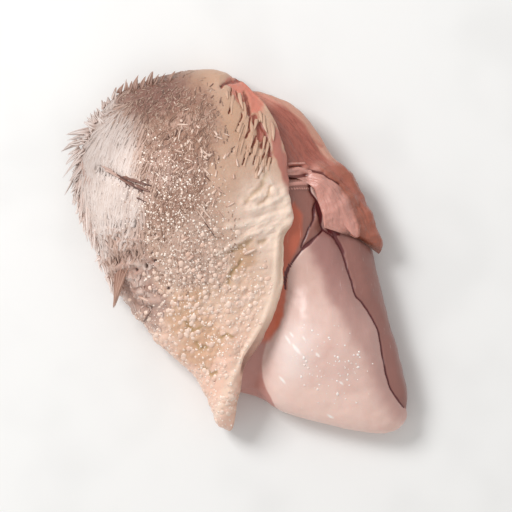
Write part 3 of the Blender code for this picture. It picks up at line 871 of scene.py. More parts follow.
# Dark pits where quills came out, in the folds and beside the down: place and radius
PITS = (
    ((-56.0, 6.8), 1.1), ((-56.2, 2.4), 1.0), ((-52.0, 15.5), 0.8), ((-48.4, 7.5), 0.9),
    ((-43.5, 16.5), 0.9), ((-41.8, -7.5), 1.0), ((-33.5, -3.0), 0.8), ((-34.3, 0.5), 0.7),
    ((-33.4, 8.0), 0.7), ((-30.4, -9.5), 0.9), ((-27.8, -15.2), 1.0), ((-41.8, 28.8), 1.2),
    ((-39.4, 22.0), 1.0), ((-28.5, 47.0), 0.8), ((-22.0, 51.0), 0.7), ((-2.0, 42.0), 0.6),
)
SLIT = ((-57.0, 35.0), (-52.0, 33.0), (-48.0, 31.0), (-44.0, 28.5), (-39.0, 26.5))
SLIT_WIDTH = 1.2
RING_PIT = ((5.5, -17.5), 2.3)


def spots(places, x, y):
    """Small round marks at given places."""
    return np.max([bell(np.hypot(x - px, y - py) / r) for (px, py), r in places], axis=0)


def skin_zones(points):
    x, y = wavering(points, 11, 3.5, seed=60)
    near_x, near_y = wavering(points, 3.0, 0.5, seed=64)
    plain_x, plain_y = points[..., 0], points[..., 1]
    from_cut = distance_to(CUT_PATH, plain_x, plain_y)
    rim = smoothstep((RIM_WIDTH + 0.4 - from_cut) / 0.9)
    # A painted highlight along the top of the cut's rounded edge
    line = bell((from_cut - RIM_HIGHLIGHT_PLACE) / RIM_HIGHLIGHT_WIDTH)
    slit = bell(distance_to(smooth_path(SLIT, steps=4), near_x, near_y) / SLIT_WIDTH)
    return {
        "down": zone(DOWN_ZONE, x, y, soft=0.6),
        "beige": zone(BEIGE_ZONE, x, y, soft=0.6),
        "salmon": zone(SALMON_ZONE, near_x, near_y, soft=0.5),
        "fold_dark": strokes(FOLD_SHADES, near_x, near_y),
        "fold_light": strokes(FOLD_LIGHTS, near_x, near_y),
        "stubble": zone(STUBBLE_ZONE, x, y, soft=0.45),
        "specks": zone(SPECK_ZONE, x, y, soft=0.6),
        "grain": zone(GRAIN_ZONE, x, y, soft=0.5),
        "folds": zone(FOLD_ZONE, x, y),
        "tan": zone(TAN_ZONE, x, y, soft=0.5),
        "margin": zone(MARGIN_ZONE, x, y, soft=0.6),
        "red": strokes(FRAY_GAPS, near_x, near_y),
        "olive": strokes(OLIVE_HOLLOWS, near_x, near_y),
        "creases": strokes(LIGHT_CREASES, near_x, near_y),
        "mauve": zone(MAUVE_ZONE, x, y, soft=0.6),
        "glow": zone(GLOW_ZONE, x, y, soft=0.6),
        "pits": np.maximum(spots(PITS, near_x, near_y), slit),
        "rim": rim * smoothstep((RIM_TOP - plain_y) / RIM_FADE) * smoothstep((plain_y + 60) / 14),
        "lower": smoothstep((-20.0 - plain_y) / 30.0),
        "wrinkles": zone(WRINKLE_ZONE, x, y, soft=0.5),
        "line": line * smoothstep((28.0 - plain_y) / 12.0),
    }


# %% [markdown]
# Which way the feathers lie
#
# Down is combed by water and by the plucking. At the rim of the breast it turns like a whorl:
# up and out at the top, out to the left, then down along the side. Inside the white zone it
# sweeps down and to the left. The direction is stored as a vector on every vertex.

# %% The lie of the feathers
EDGE_WAYS = (
    np.radians((96, 110, 128, 140, 150, 162, 176, 194, 214, 240)),
    np.radians((70, 62, 85, 125, 180, 225, 250, 262, 258, 262)),
)
INNER_WAY = math.radians(252)
LEFT_TURN, LEFT_START, LEFT_RUN = math.radians(18), -50.0, 14.0


def lie_angle(disc, points):
    """The compass direction, in radians, that feathers point in."""
    turn = np.arctan2(disc[..., 1], disc[..., 0]) % math.tau
    reach = np.linalg.norm(disc, axis=-1)
    at_edge = np.interp(turn, *EDGE_WAYS)
    share = smoothstep((reach - 0.72) / 0.16)
    sway = 0.22 * noise(points[..., :2], 9, seed=70)
    inner = INNER_WAY + LEFT_TURN * smoothstep((LEFT_START - points[..., 0]) / LEFT_RUN)
    return inner + (at_edge - inner) * share + sway


def lie_vectors(disc, points):
    angle = lie_angle(disc, points)
    flat = np.stack((np.cos(angle), np.sin(angle), np.zeros(angle.shape)), axis=-1)
    normal = normals(disc, hanging=True)
    along = flat - normal * np.sum(flat * normal, axis=-1, keepdims=True)
    along /= np.linalg.norm(along, axis=-1, keepdims=True)
    free = smoothstep((np.linalg.norm(disc, axis=-1) - 0.82) / 0.12)[..., None]
    return along + (flat - along) * free


# %% Where strands grow
FRINGE_TURNS = math.radians(128), math.radians(206)
FRINGE_FADE = math.radians(8)
FRINGE_REACHES = 0.84, 1.06
QUILL_ZONE = (((-15.0, 38.0), (13.0, 17.0), 30), ((-20.0, 8.0), (13.0, 14.0), 0))
FRAY_ZONE = (((9.0, 48.5), (5.0, 12.0), 14),)


def strand_marks(disc, points, marks, outer):
    """Where the fringe, the quills and the frayed strands stand, on the outer face only."""
    turn = np.arctan2(disc[..., 1], disc[..., 0]) % math.tau
    reach = np.linalg.norm(disc, axis=-1)
    x, y = points[..., 0], points[..., 1]
    fringe = smoothstep((turn - FRINGE_TURNS[0]) / FRINGE_FADE)
    fringe *= smoothstep((FRINGE_TURNS[1] - turn) / FRINGE_FADE)
    fringe *= smoothstep((reach - FRINGE_REACHES[0]) / 0.08) * (reach < FRINGE_REACHES[1])
    shown = outer > 0.9
    off_rim = (distance_to(CUT_PATH, x, y) > RIM_WIDTH + 1.0) | (y < -58)
    return {
        **{name: marks[name] * shown for name in ("down", "stubble", "specks", "folds")},
        "fringe": fringe * shown,
        "quills": zone(QUILL_ZONE, x, y) * shown,
        "fray": zone(FRAY_ZONE, x, y) * (marks["red"] < 0.2) * shown,
        "grain": marks["grain"] * shown * off_rim,
    }


# %% The skin's relief
GRAIN_SIZE = 2.7
SMALL_GRAIN_SIZE = 1.3
FOLD_HEIGHT = 0.5
FOLD_STEP = 44.0
FOLD_SWAY = 82.0


def across_lie(points):
    """Coordinates along and across the lie of the down, for streaks that follow it."""
    x, y = wavering(points, 16, 2.0, seed=75)
    along = x * math.cos(INNER_WAY) + y * math.sin(INNER_WAY)
    beside = y * math.cos(INNER_WAY) - x * math.sin(INNER_WAY)
    return np.stack((along / 6.0, beside), axis=-1)


def skin_relief(points, marks):
    """Grain, streaks and folds, each in its own zone."""
    x, y = points[..., 0], points[..., 1]
    flat = points[..., :2]
    gap, tone = cells(flat + 0.5 * noise(flat, 2.0, seed=12)[..., None], GRAIN_SIZE, seed=11)
    grain = 0.6 * smoothstep(1.0 - gap * 1.3) * smoothstep(0.8 + tone)
    small_gap, _ = cells(flat, SMALL_GRAIN_SIZE, seed=14)
    small = 0.2 * smoothstep(1.0 - small_gap * 1.3)
    combed = across_lie(points)
    streak = 0.16 * noise(combed, 1.0, seed=15) + 0.42 * noise(combed, 2.4, seed=16)
    sway = 1.5 * np.sin(math.tau * y / FOLD_SWAY)
    fold = np.sin(math.tau * (x + 0.6 * y) / FOLD_STEP + sway)
    wrinkle = 0.9 * layered_noise(flat * (1.0, 1.5), 4.5, seed=17, layers=4)
    rough = np.maximum(marks["stubble"], marks["specks"])
    height = grain * marks["grain"] + small * (0.25 + 0.75 * rough) * (1 - marks["down"])
    height += streak * marks["down"] + (FOLD_HEIGHT * fold + wrinkle) * marks["folds"]
    height += 0.3 * layered_noise(flat, 9, seed=19) + 0.22 * rough * layered_noise(flat, 2.5, seed=21)
    height += 0.55 * noise(combed, 1.7, seed=26) * zone(FRAY_ZONE, x, y, soft=0.5)
    height -= 1.3 * marks["red"] + 1.2 * marks["pits"] + 0.5 * marks["olive"]
    height += 0.6 * marks["creases"] + 0.7 * marks["fold_light"] - 0.7 * marks["fold_dark"]
    from_cut = distance_to(CUT_PATH, x, y)
    below_knob = smoothstep((RIM_TOP - y) / RIM_FADE)
    height -= RIM_DROP * smoothstep(1 - from_cut / RIM_WIDTH) * (0.25 + 0.75 * below_knob)
    height += 0.35 * bell((from_cut - RIM_WIDTH - 0.9) / 0.8) * below_knob
    height += humps(EDGE_KNOBS, x, y) - 1.5 * marks["salmon"]
    slant = np.stack((x * 0.94 + y * 0.34, (y * 0.94 - x * 0.34) * 2.6), axis=-1)
    height += 0.7 * layered_noise(slant, 7, seed=23) * marks["wrinkles"]
    ring = np.hypot(x - RING_PIT[0][0], y - RING_PIT[0][1]) / RING_PIT[1]
    height += 0.5 * bell((ring - 1) / 0.35) - 0.7 * bell(ring / 0.6)
    return height, gap, tone


def make_skin():
    border = skin_border()
    middle = disc_of(SKIN_MIDDLE, hanging=True)
    outer_shares = np.linspace(0, SKIN_FACE_SHARE, SKIN_OUTER_RINGS + 1)[1:]
    inward = np.linspace(0, 1, SKIN_INNER_RINGS + 1)[:-1] ** SKIN_CROWDING
    rows = [(share, SKIN_GAP + SKIN, 1.0) for share in outer_shares]
    rows += [(share, SKIN_GAP + part * SKIN, 0.5) for share, part in SKIN_EDGE]
    rows += [(share, SKIN_GAP, 0.0) for share in SKIN_INNER_SHARE * (1 - inward)]
    shares, heights, rough = (np.array(column)[:, None] for column in zip(*rows))
    disc = middle + (border - middle) * shares[..., None]
    points = dome(disc[..., 0], disc[..., 1], hanging=True)
    marks = skin_zones(points)
    relief, gap, tone = skin_relief(points, marks)
    rings = lifted(disc, heights + relief * rough, hanging=True)
    marks = {**marks, "gap": gap, "tone": tone, "outer": rough * np.ones(gap.shape)}
    marks["lie"] = lie_vectors(disc, points)
    combed = across_lie(points) * MM
    marks["combed"] = np.concatenate((combed, 0 * combed[..., :1]), axis=-1)
    marks.update(strand_marks(disc, points, marks, rough))
    return closed_surface("skin_surface", rings, marks)


skin = make_skin()

# %% [markdown]
# The skin's finish
#
# The ground is cream. Each zone then lays its own colour over it with an uneven border, and the
# grains take the random number of their own cell, so that neighbours differ as real ones do.
# Painted shade lies between the grains, on the lower part of the cut's edge and on the side
# towards the lamp; painted highlights lie on the pale specks and along the top of the cut.

# %% The skin's finish
def skin_finish():
    finish = Finish("cream skin", (204, 166, 142), 0.42, **DAMP, **FLESH_GLOW)
    soft = finish.noise(8, detail=4)
    fine = finish.noise(1.6, detail=4, rough=0.7)
    speck = finish.noise(0.5, detail=3, rough=0.7)
    streak = finish.noise(1.3, detail=4, source=finish.mark("combed", "Vector"))
    finish.cover((190, 150, 126), finish.between(soft, 0.48, 0.78))
    finish.cover((220, 188, 164), finish.between(fine, 0.5, 0.7), 0.4)
    finish.cover((244, 215, 197), "glow", 0.8)
    finish.cover((196, 155, 127), "beige", 0.75)
    salmon = finish.patchy("salmon", streak, 0.5, 0.3)
    finish.cover((204, 122, 103), salmon, 0.95)
    finish.cover((228, 193, 170), finish.patchy("grain", soft, 0.6, 0.35))
    pale = finish.math("MULTIPLY", finish.between("tone", -0.2, 0.9), "grain")
    finish.cover((240, 211, 195), pale, 0.7)
    # Painted shade in the gaps between the grains
    hollow = finish.math("MULTIPLY", finish.between("gap", 0.5, 0.85), "grain")
    finish.cover((196, 152, 124), hollow, 0.45)
    finish.cover((246, 200, 180), "lower", 0.65)
    tan = finish.patchy("tan", fine, 0.8, 0.5)
    finish.cover((208, 164, 130), tan, 0.75)
    finish.cover((188, 153, 139), finish.patchy("folds", soft, 0.7, 0.35))
    finish.cover((140, 102, 87), "fold_dark", 0.7)
    finish.cover((224, 201, 190), "fold_light", 0.65)
    dots = finish.patchy("specks", fine, 0.8, 0.4)
    finish.cover((193, 161, 145), dots, 0.85)
    stubble = finish.patchy("stubble", fine, 1.0, 0.4)
    finish.cover((151, 111, 92), stubble)
    finish.cover((176, 138, 121), finish.math("MULTIPLY", finish.between(soft, 0.5, 0.62), stubble))
    finish.cover((128, 94, 77), finish.math("MULTIPLY", finish.between(fine, 0.54, 0.7), stubble))
    finish.cover((134, 88, 74), "mauve", 0.85)
    rough = finish.math("MAXIMUM", stubble, dots)
    # Pale specks, painted highlights on the rough skin
    speck_highlight = finish.math("MULTIPLY", finish.between(speck, 0.56, 0.64), rough)
    finish.cover((218, 190, 173), speck_highlight, 0.6)
    down = finish.patchy("down", fine, 0.5, 0.5)
    finish.cover((210, 188, 178), down)
    pink = finish.math("MULTIPLY", finish.between(streak, 0.5, 0.72), down)
    finish.cover((188, 158, 146), pink, 0.65)
    white = finish.math("MULTIPLY", finish.between(streak, 0.46, 0.3), down)
    finish.cover((226, 211, 204), white, 0.7)
    finish.cover((205, 181, 171), "fringe", 0.8)
    finish.cover((184, 116, 102), finish.between("margin", 0.1, 0.7))
    fray_edge = finish.between("red", 0.08, 0.4)
    finish.cover((176, 126, 100), fray_edge, 0.6)
    finish.cover((158, 84, 68), finish.between("red", 0.35, 0.7))
    finish.cover((84, 50, 42), finish.between("pits", 0.35, 0.8))
    finish.cover((255, 227, 209), "wrinkles", 0.75)
    finish.cover((246, 224, 208), "creases", 0.6)
    finish.cover((196, 164, 130), "olive", 0.65)
    low_olive = finish.math("MULTIPLY", "olive", "grain")
    finish.cover((172, 134, 84), low_olive, 0.7)
    # The painted highlight along the top of the cut's rounded edge
    finish.cover((242, 217, 197), "line", 0.6)
    rim = finish.between("rim", 0.3, 0.8)
    finish.cover((230, 200, 178), rim)
    # Painted shade on the lower part of the cut's rounded edge
    finish.cover((168, 120, 104), finish.math("MULTIPLY", rim, "lower"))
    finish.paint_lamp_side_shade()
    finish.roughen(fine, 0.2)
    finish.roughen(speck, 0.08)
    return finish.done()


skin.data.materials.append(skin_finish())

# %% [markdown]
# Growing things on the skin
#
# Down, stubble, quills and beads are the same small shape many times over, each with its own
# place, size and tilt. Geometry Nodes do that: scatter points where a mark is high, put one small
# shape on each, turn it along the lie of the feathers and make the copies real. The class below
# builds such a tree, and every kind of down is that one tree with other sizes.

# %% A kit for node trees
class Grower:
    """A Geometry Nodes tree in the making."""

    def __init__(self, name, **inputs):
        self.tree = bpy.data.node_groups.new(name, "GeometryNodeTree")
        face = self.tree.interface
        face.new_socket("Geometry", in_out="INPUT", socket_type="NodeSocketGeometry")
        face.new_socket("Geometry", in_out="OUTPUT", socket_type="NodeSocketGeometry")
        for socket, kind in inputs.items():
            face.new_socket(socket, in_out="INPUT", socket_type=f"NodeSocket{kind}")
        self.given = self.tree.nodes.new("NodeGroupInput").outputs
        self.end = self.tree.nodes.new("NodeGroupOutput").inputs

    def add(self, kind, *values, **named):
        """A node, fed in the order of its visible inputs, where None skips one.

        A name with a capital is one of its inputs too, and any other name is a setting.
        """
        node = self.tree.nodes.new(kind)
        by_name = {name: named.pop(name) for name in tuple(named) if name[0].isupper()}
        for setting, value in named.items():
            setattr(node, setting, value)
        fed = list(zip([socket for socket in node.inputs if socket.enabled], values))
        fed += [(node.inputs[name.replace("_", " ")], value) for name, value in by_name.items()]
        for socket, value in fed:
            if isinstance(value, bpy.types.NodeSocket):
                self.tree.links.new(value, socket)
            elif value is not None:
                socket.default_value = value
        return [socket for socket in node.outputs if socket.enabled]

    def math(self, kind, a, b=None, c=None):
        return self.add("ShaderNodeMath", a, b, c, operation=kind)[0]

    def vector(self, kind, a, b=None):
        return self.add("ShaderNodeVectorMath", a, b, operation=kind)[0]

    def scaled(self, vector, share):
        return self.add("ShaderNodeVectorMath", vector, share, operation="SCALE")[0]

    def random(self, low, high, seed_shift):
        seed = self.math("ADD", self.given["Seed"], float(seed_shift))
        return self.add("FunctionNodeRandomValue", low, high, None, seed, data_type="FLOAT")[0]

    def store(self, geometry, name, value, kind="FLOAT", domain="POINT"):
        return self.add(
            "GeometryNodeStoreNamedAttribute", geometry, None, name, value,
            data_type=kind, domain=domain,
        )[0]

    def read(self, name, kind="FLOAT"):
        return self.add("GeometryNodeInputNamedAttribute", name, data_type=kind)[0]

    def scattered(self):
        """Points on the surface, dense where the mark is high: the mark, points, normal, turn."""
        mark = self.read(self.given["Mark"])
        return mark, *self.add(
            "GeometryNodeDistributePointsOnFaces", distribute_method="RANDOM",
            Mesh=self.given["Geometry"], Seed=self.given["Seed"],
            Density=self.math("MULTIPLY", mark, self.given["Density"]),
        )

    def finish(self, geometry):
        """The last two steps: real copies, and their material."""
        real = self.add("GeometryNodeRealizeInstances", geometry)[0]
        painted = self.add("GeometryNodeSetMaterial", real, None, self.given["Material"])[0]
        self.tree.links.new(painted, self.end[0])
        return self.tree


def grown(name, tree, surface, **values):
    """The plain mesh that a tree grows on a surface."""
    piece = placed(name, surface.data)
    modifier = piece.modifiers.new("grow", "NODES")
    modifier.node_group = tree
    for item in tree.interface.items_tree:
        if item.in_out == "INPUT" and item.name in values:
            modifier[item.identifier] = values[item.name]
    graph = bpy.context.evaluated_depsgraph_get()
    mesh = bpy.data.meshes.new_from_object(piece.evaluated_get(graph))
    piece.modifiers.remove(modifier)
    piece.data = mesh
    mesh.name = name
    mesh.shade_smooth()
    mesh.calc_loop_triangles()
    print(f"{name}: {len(mesh.loop_triangles)} triangles")
    return piece


# %% [markdown]
# One tree for every kind of lock
#
# A wet lock is a few strands that start side by side and meet at a pointed tip. The tree makes
# one strand of length 1, sets some of them in a ring, pulls their tips together and puts that
# lock on each point. Its width and length are the scale of the copy. Curl then bends each lock
# sideways, and Hug lays it down on the surface, as water does with down.

# %% The lock tree
STRAND_POINTS = 7
STRAND_SIDES = 5
LOCK_SPREAD = 1.3
LOCK_GATHER = 0.85


def lock_tree():
    grower = Grower(
        "locks", Mark="String", Density="Float", Strands="Int", Shortest="Float",
        Longest="Float", Width="Float", Flatness="Float", Blunt="Float", Rise="Float",
        Stray="Float", Curl="Float", Hug="Float", Lift="Float", Seed="Int", Material="Material",
    )
    given = grower.given
    mark, points, normal, _ = grower.scattered()
    points = grower.store(points, "rooted", mark)

    line = grower.add("GeometryNodeCurvePrimitiveLine", (0, 0, 0), (0, 0, 1))[0]
    strand = grower.add("GeometryNodeResampleCurve", line, None, STRAND_POINTS)[0]
    share = grower.add("GeometryNodeSplineParameter")[0]
    left = grower.math("SUBTRACT", 1.02, share)
    root = grower.math("MINIMUM", grower.math("MULTIPLY_ADD", share, 4.0, 0.08), 1.0)
    radius = grower.math("MULTIPLY", grower.math("POWER", left, given["Blunt"]), root)
    radius = grower.math("MULTIPLY", radius, 0.5)
    strand = grower.add("GeometryNodeSetCurveRadius", strand, None, radius)[0]
    profile = grower.add("GeometryNodeCurvePrimitiveCircle", STRAND_SIDES, 1.0)[0]
    strand = grower.add(
        "GeometryNodeCurveToMesh", Curve=strand, Profile_Curve=profile, Fill_Caps=True
    )[0]

    ring = grower.add("GeometryNodeCurvePrimitiveCircle", 3, 1.0)[0]
    ring = grower.add("GeometryNodeCurveToPoints", ring, given["Strands"], mode="COUNT")[0]
    spread = grower.math("GREATER_THAN", given["Strands"], 1.5)
    place = grower.scaled(grower.add("GeometryNodeInputPosition")[0], LOCK_SPREAD)
    place = grower.scaled(place, spread)
    ring = grower.add("GeometryNodeSetPosition", ring, None, place)[0]
    length = grower.add("ShaderNodeCombineXYZ", 1.0, 1.0, grower.random(0.7, 1.0, 1))[0]
    lock = grower.add(
        "GeometryNodeInstanceOnPoints", Points=ring, Instance=strand, Scale=length
    )[0]
    lock = grower.add("GeometryNodeRealizeInstances", lock)[0]
    x, y, z = grower.add("ShaderNodeSeparateXYZ", grower.add("GeometryNodeInputPosition")[0])
    pull = grower.math("MULTIPLY", z, -LOCK_GATHER)
    pull = grower.math("MULTIPLY", pull, spread)
    gather_x = grower.math("MULTIPLY", x, pull)
    gather_y = grower.math("MULTIPLY", y, pull)
    shift = grower.add("ShaderNodeCombineXYZ", gather_x, gather_y, 0.0)[0]
    lock = grower.add("GeometryNodeSetPosition", lock, None, None, shift)[0]
    for name, value in (("tip", z), ("side", x)):
        lock = grower.store(lock, name, value)

    lie = grower.read("lie", kind="FLOAT_VECTOR")
    seed = grower.math("ADD", given["Seed"], 2.0)
    stray = grower.add(
        "FunctionNodeRandomValue", (-1, -1, -1), (1, 1, 1), None, seed, data_type="FLOAT_VECTOR"
    )[0]
    way = grower.vector("ADD", lie, grower.scaled(normal, given["Rise"]))
    way = grower.vector("ADD", way, grower.scaled(stray, given["Stray"]))
    turn = grower.add("FunctionNodeAlignRotationToVector", axis="Z", Vector=way)[0]
    turn = grower.add(
        "FunctionNodeAlignRotationToVector", axis="X", pivot_axis="Z", Rotation=turn,
        Vector=normal,
    )[0]
    beside = grower.vector("NORMALIZE", grower.vector("CROSS_PRODUCT", normal, way))
    points = grower.store(points, "beside", beside, kind="FLOAT_VECTOR")
    wide = grower.math("MULTIPLY", given["Width"], grower.random(0.7, 1.3, 3))
    long = grower.random(given["Shortest"], given["Longest"], 4)
    thick = grower.math("MULTIPLY", wide, given["Flatness"])
    size = grower.add("ShaderNodeCombineXYZ", thick, wide, long)[0]
    locks = grower.add(
        "GeometryNodeInstanceOnPoints", Points=points, Instance=lock, Rotation=turn, Scale=size
    )[0]
    for name, value in (("own_tone", grower.random(0.0, 1.0, 5)), ("thick", thick)):
        locks = grower.store(locks, name, value, domain="INSTANCE")
    locks = grower.add("GeometryNodeRealizeInstances", locks)[0]

    tip, side, thick, tone = (grower.read(name) for name in ("tip", "side", "thick", "own_tone"))
    curl = grower.math("MULTIPLY", grower.math("SUBTRACT", tone, 0.5), given["Curl"])
    curl = grower.math("MULTIPLY", curl, grower.math("MULTIPLY", tip, tip))
    sideways = grower.scaled(grower.read("beside", kind="FLOAT_VECTOR"), curl)
    locks = grower.add("GeometryNodeSetPosition", locks, None, None, sideways)[0]
    surface = given["Geometry"]
    nearest = grower.add("GeometryNodeProximity", surface, target_element="FACES")[0]
    facing = grower.add("GeometryNodeInputNormal")[0]
    facing = grower.add(
        "GeometryNodeSampleNearestSurface", surface, facing, data_type="FLOAT_VECTOR"
    )[0]
    height = grower.math("ADD", grower.math("MULTIPLY", side, thick), given["Lift"])
    wanted = grower.vector("ADD", nearest, grower.scaled(facing, height))
    here = grower.add("GeometryNodeInputPosition")[0]
    shift = grower.scaled(grower.vector("SUBTRACT", wanted, here), given["Hug"])
    locks = grower.add("GeometryNodeSetPosition", locks, None, None, shift)[0]
    return grower.finish(locks)


LOCKS = lock_tree()


# %% [markdown]
# A finish for every strand
#
# Wet down is pinkish at the root, where skin shows through, and nearly white at the tip. One
# function makes such a finish from three colours: the root, the tip, and the shade that the
# darkest locks take. Each copy's own random number picks how much of that shade it gets.

# %% Strand finishes
def strand_finish(name, root, tip, shade, shaded=0.8, border=None):
    finish = Finish(name, root, 0.45, Coat_Weight=0.2, Coat_Roughness=0.25)
    finish.cover(tip, finish.between("tip", 0.05, 0.6))
    dark = finish.between("own_tone", 0.5, 1.0)
    finish.cover(shade, dark, shaded)
    finish.cover(root, finish.noise(0.9, detail=2), 0.25)
    if border:
        finish.cover(border, finish.between("rooted", 0.8, 0.2))
    finish.paint_lamp_side_shade()
    finish.roughen(finish.noise(0.5, detail=2), 0.08)
    return finish.done()


DOWN_COLOURS = (213, 194, 184), (226, 211, 204), (205, 183, 173)
WHITE_DOWN = strand_finish("white down", *DOWN_COLOURS, 0.6, border=(190, 157, 141))
GREY_FRINGE = strand_finish("wet fringe", (226, 202, 191), (246, 232, 225), (208, 180, 168), 0.6)
STUBBLE = strand_finish("light stubble", (170, 134, 116), (204, 174, 156), (160, 124, 105), 0.8)
DARK_STUBBLE = strand_finish("dark stubble", (142, 108, 91), (130, 96, 81), (156, 122, 103))
QUILL = strand_finish("quill", (206, 172, 154), (234, 208, 192), (196, 156, 138))
FRAYED = strand_finish("frayed skin", (198, 158, 134), (206, 170, 146), (192, 152, 127), 0.5)
BROWN_FRINGE = strand_finish("brown fringe", (166, 126, 109), (198, 160, 142), (150, 110, 94))
PINK_DOWN = strand_finish("pink down", (208, 178, 166), (190, 156, 142), (196, 164, 151))
DARK_QUILL = strand_finish("dark quill", (112, 80, 68), (96, 66, 56), (132, 98, 84))
DARK_BLOOD = strand_finish("dark slit", (110, 70, 58), (82, 48, 40), (140, 98, 84))
WISP = strand_finish("wisp", (196, 164, 151), (218, 194, 183), (172, 136, 122))

# %% [markdown]
# Down, fringe, stubble and quills
#
# Each row below is one kind: where it grows, how many stand on a square metre, and its sizes in
# metres. The fringe stands out a little near the rim, the rest lies flat on the skin.

# %% Growing the strands
FLAT = dict(Strands=1, Rise=0.0, Hug=1.0)
LOCK_KINDS = {
    "matted_down": dict(
        FLAT, Mark="down", Density=3.2e5, Shortest=0.006, Longest=0.013, Width=0.0009,
        Flatness=0.16, Blunt=0.9, Stray=0.12, Curl=0.004, Lift=0.00002, Seed=3,
        Material=WHITE_DOWN,
    ),
    "fine_down": dict(
        FLAT, Mark="down", Density=3.4e5, Shortest=0.004, Longest=0.010, Width=0.0004,
        Flatness=0.3, Blunt=0.8, Stray=0.16, Curl=0.005, Hug=0.95, Lift=0.00006, Seed=5,
        Material=WHITE_DOWN,
    ),
    "fine_fringe": dict(
        FLAT, Mark="fringe", Density=0.9e5, Strands=3, Shortest=0.004, Longest=0.009, Width=0.0007,
        Flatness=0.7, Blunt=0.7, Rise=0.04, Stray=0.15, Curl=0.004, Hug=0.5, Lift=0.0002, Seed=12,
        Material=GREY_FRINGE,
    ),
    "stubble": dict(
        FLAT, Mark="stubble", Density=2.6e5, Shortest=0.0012, Longest=0.0036, Width=0.00028,
        Flatness=0.35, Blunt=0.6, Stray=0.7, Curl=0.0015, Lift=0.00005, Seed=21, Material=STUBBLE,
    ),
    "dark_stubble": dict(
        FLAT, Mark="stubble", Density=1.8e5, Shortest=0.0014, Longest=0.0038, Width=0.00032,
        Flatness=0.3, Blunt=0.5, Stray=0.6, Curl=0.001, Lift=0.00002, Seed=25,
        Material=DARK_STUBBLE,
    ),
    "speck_stubble": dict(
        FLAT, Mark="specks", Density=2.6e5, Shortest=0.0008, Longest=0.0024, Width=0.00028,
        Flatness=0.4, Blunt=0.6, Stray=0.8, Curl=0.001, Hug=0.95, Lift=0.00005, Seed=29,
        Material=STUBBLE,
    ),
    "short_quills": dict(
        FLAT, Mark="quills", Density=3.0e4, Shortest=0.002, Longest=0.0042, Width=0.0005,
        Flatness=0.8, Blunt=0.3, Rise=0.05, Stray=0.9, Curl=0.0005, Hug=0.8, Lift=0.0001, Seed=33,
        Material=QUILL,
    ),
    "frayed_strands": dict(
        FLAT, Mark="fray", Density=5e4, Shortest=0.004, Longest=0.009, Width=0.0009, Flatness=0.25,
        Blunt=0.9, Stray=0.10, Curl=0.003, Lift=0.0, Seed=41, Material=FRAYED,
    ),
    "fold_wisps": dict(
        FLAT, Mark="folds", Density=0.7e5, Shortest=0.002, Longest=0.0065, Width=0.0006,
        Flatness=0.25, Blunt=0.8, Stray=0.5, Curl=0.004, Lift=0.00003, Seed=45, Material=WISP,
    ),
}

skin_pieces = [grown(name, LOCKS, skin, **sizes) for name, sizes in LOCK_KINDS.items()]

# %% [markdown]
# Tufts and quills in their places
#
# The large tufts stand out past the rim and shape the outline, and some quills are easy to pick
# out, so each of these has a row of its own: where it starts, where it ends and its width, in
# mm seen from above. A tuft is a few tapered strands side by side that meet near its tip.

# %% Rows of tufts and quills
TUFTS = (
    ((-57.0, 58.6), (-59.3, 61.6), 1.6), ((-57.4, 55.2), (-60.1, 58.7), 1.6),
    ((-60.7, 54.3), (-66.0, 56.4), 3.2), ((-63.8, 52.6), (-74.1, 51.0), 2.6),
    ((-66.4, 50.6), (-74.0, 48.4), 1.9), ((-66.0, 48.2), (-73.5, 46.7), 2.1),
    ((-68.6, 47.5), (-76.4, 43.5), 2.4), ((-68.2, 44.7), (-73.7, 41.9), 2.2),
    ((-67.8, 43.3), (-74.4, 37.6), 2.8), ((-66.9, 43.3), (-76.4, 30.6), 1.2),
    ((-67.8, 40.7), (-73.8, 34.1), 2.6), ((-67.3, 37.6), (-72.6, 30.1), 2.4),
    ((-70.0, 33.2), (-75.7, 22.4), 1.0), ((-69.1, 31.0), (-71.5, 18.9), 0.9),
    ((-67.8, 31.0), (-70.0, 20.9), 2.8), ((-66.4, 26.6), (-67.4, 11.0), 2.8),
    ((-64.7, 19.6), (-64.2, 3.6), 2.3), ((-63.8, 11.7), (-62.7, 2.0), 2.4),
    ((-62.0, 8.6), (-60.8, -0.7), 2.8), ((-59.0, -2.9), (-61.4, -5.2), 1.5),
    ((-55.0, -10.1), (-57.1, -12.1), 1.1),
)
BROWN_TUFTS = (
    ((-49.4, -9.5), (-52.9, -25.7), 5.0),
    ((-37.2, 72.8), (-35.6, 78.8), 2.4), ((-35.5, 73.3), (-32.5, 77.9), 2.0),
    ((-43.9, 70.6), (-42.0, 77.2), 2.2), ((-28.6, 75.0), (-25.7, 78.7), 2.0),
    ((-47.3, 70.6), (-47.3, 75.5), 1.6), ((-50.6, 69.1), (-48.3, 74.1), 1.6),
    ((-52.8, 67.3), (-51.7, 72.4), 1.5), ((-40.9, 71.5), (-38.5, 76.8), 1.5),
    ((-32.1, 74.1), (-29.9, 77.9), 1.4), ((-45.8, 70.6), (-44.7, 75.0), 1.3),
)
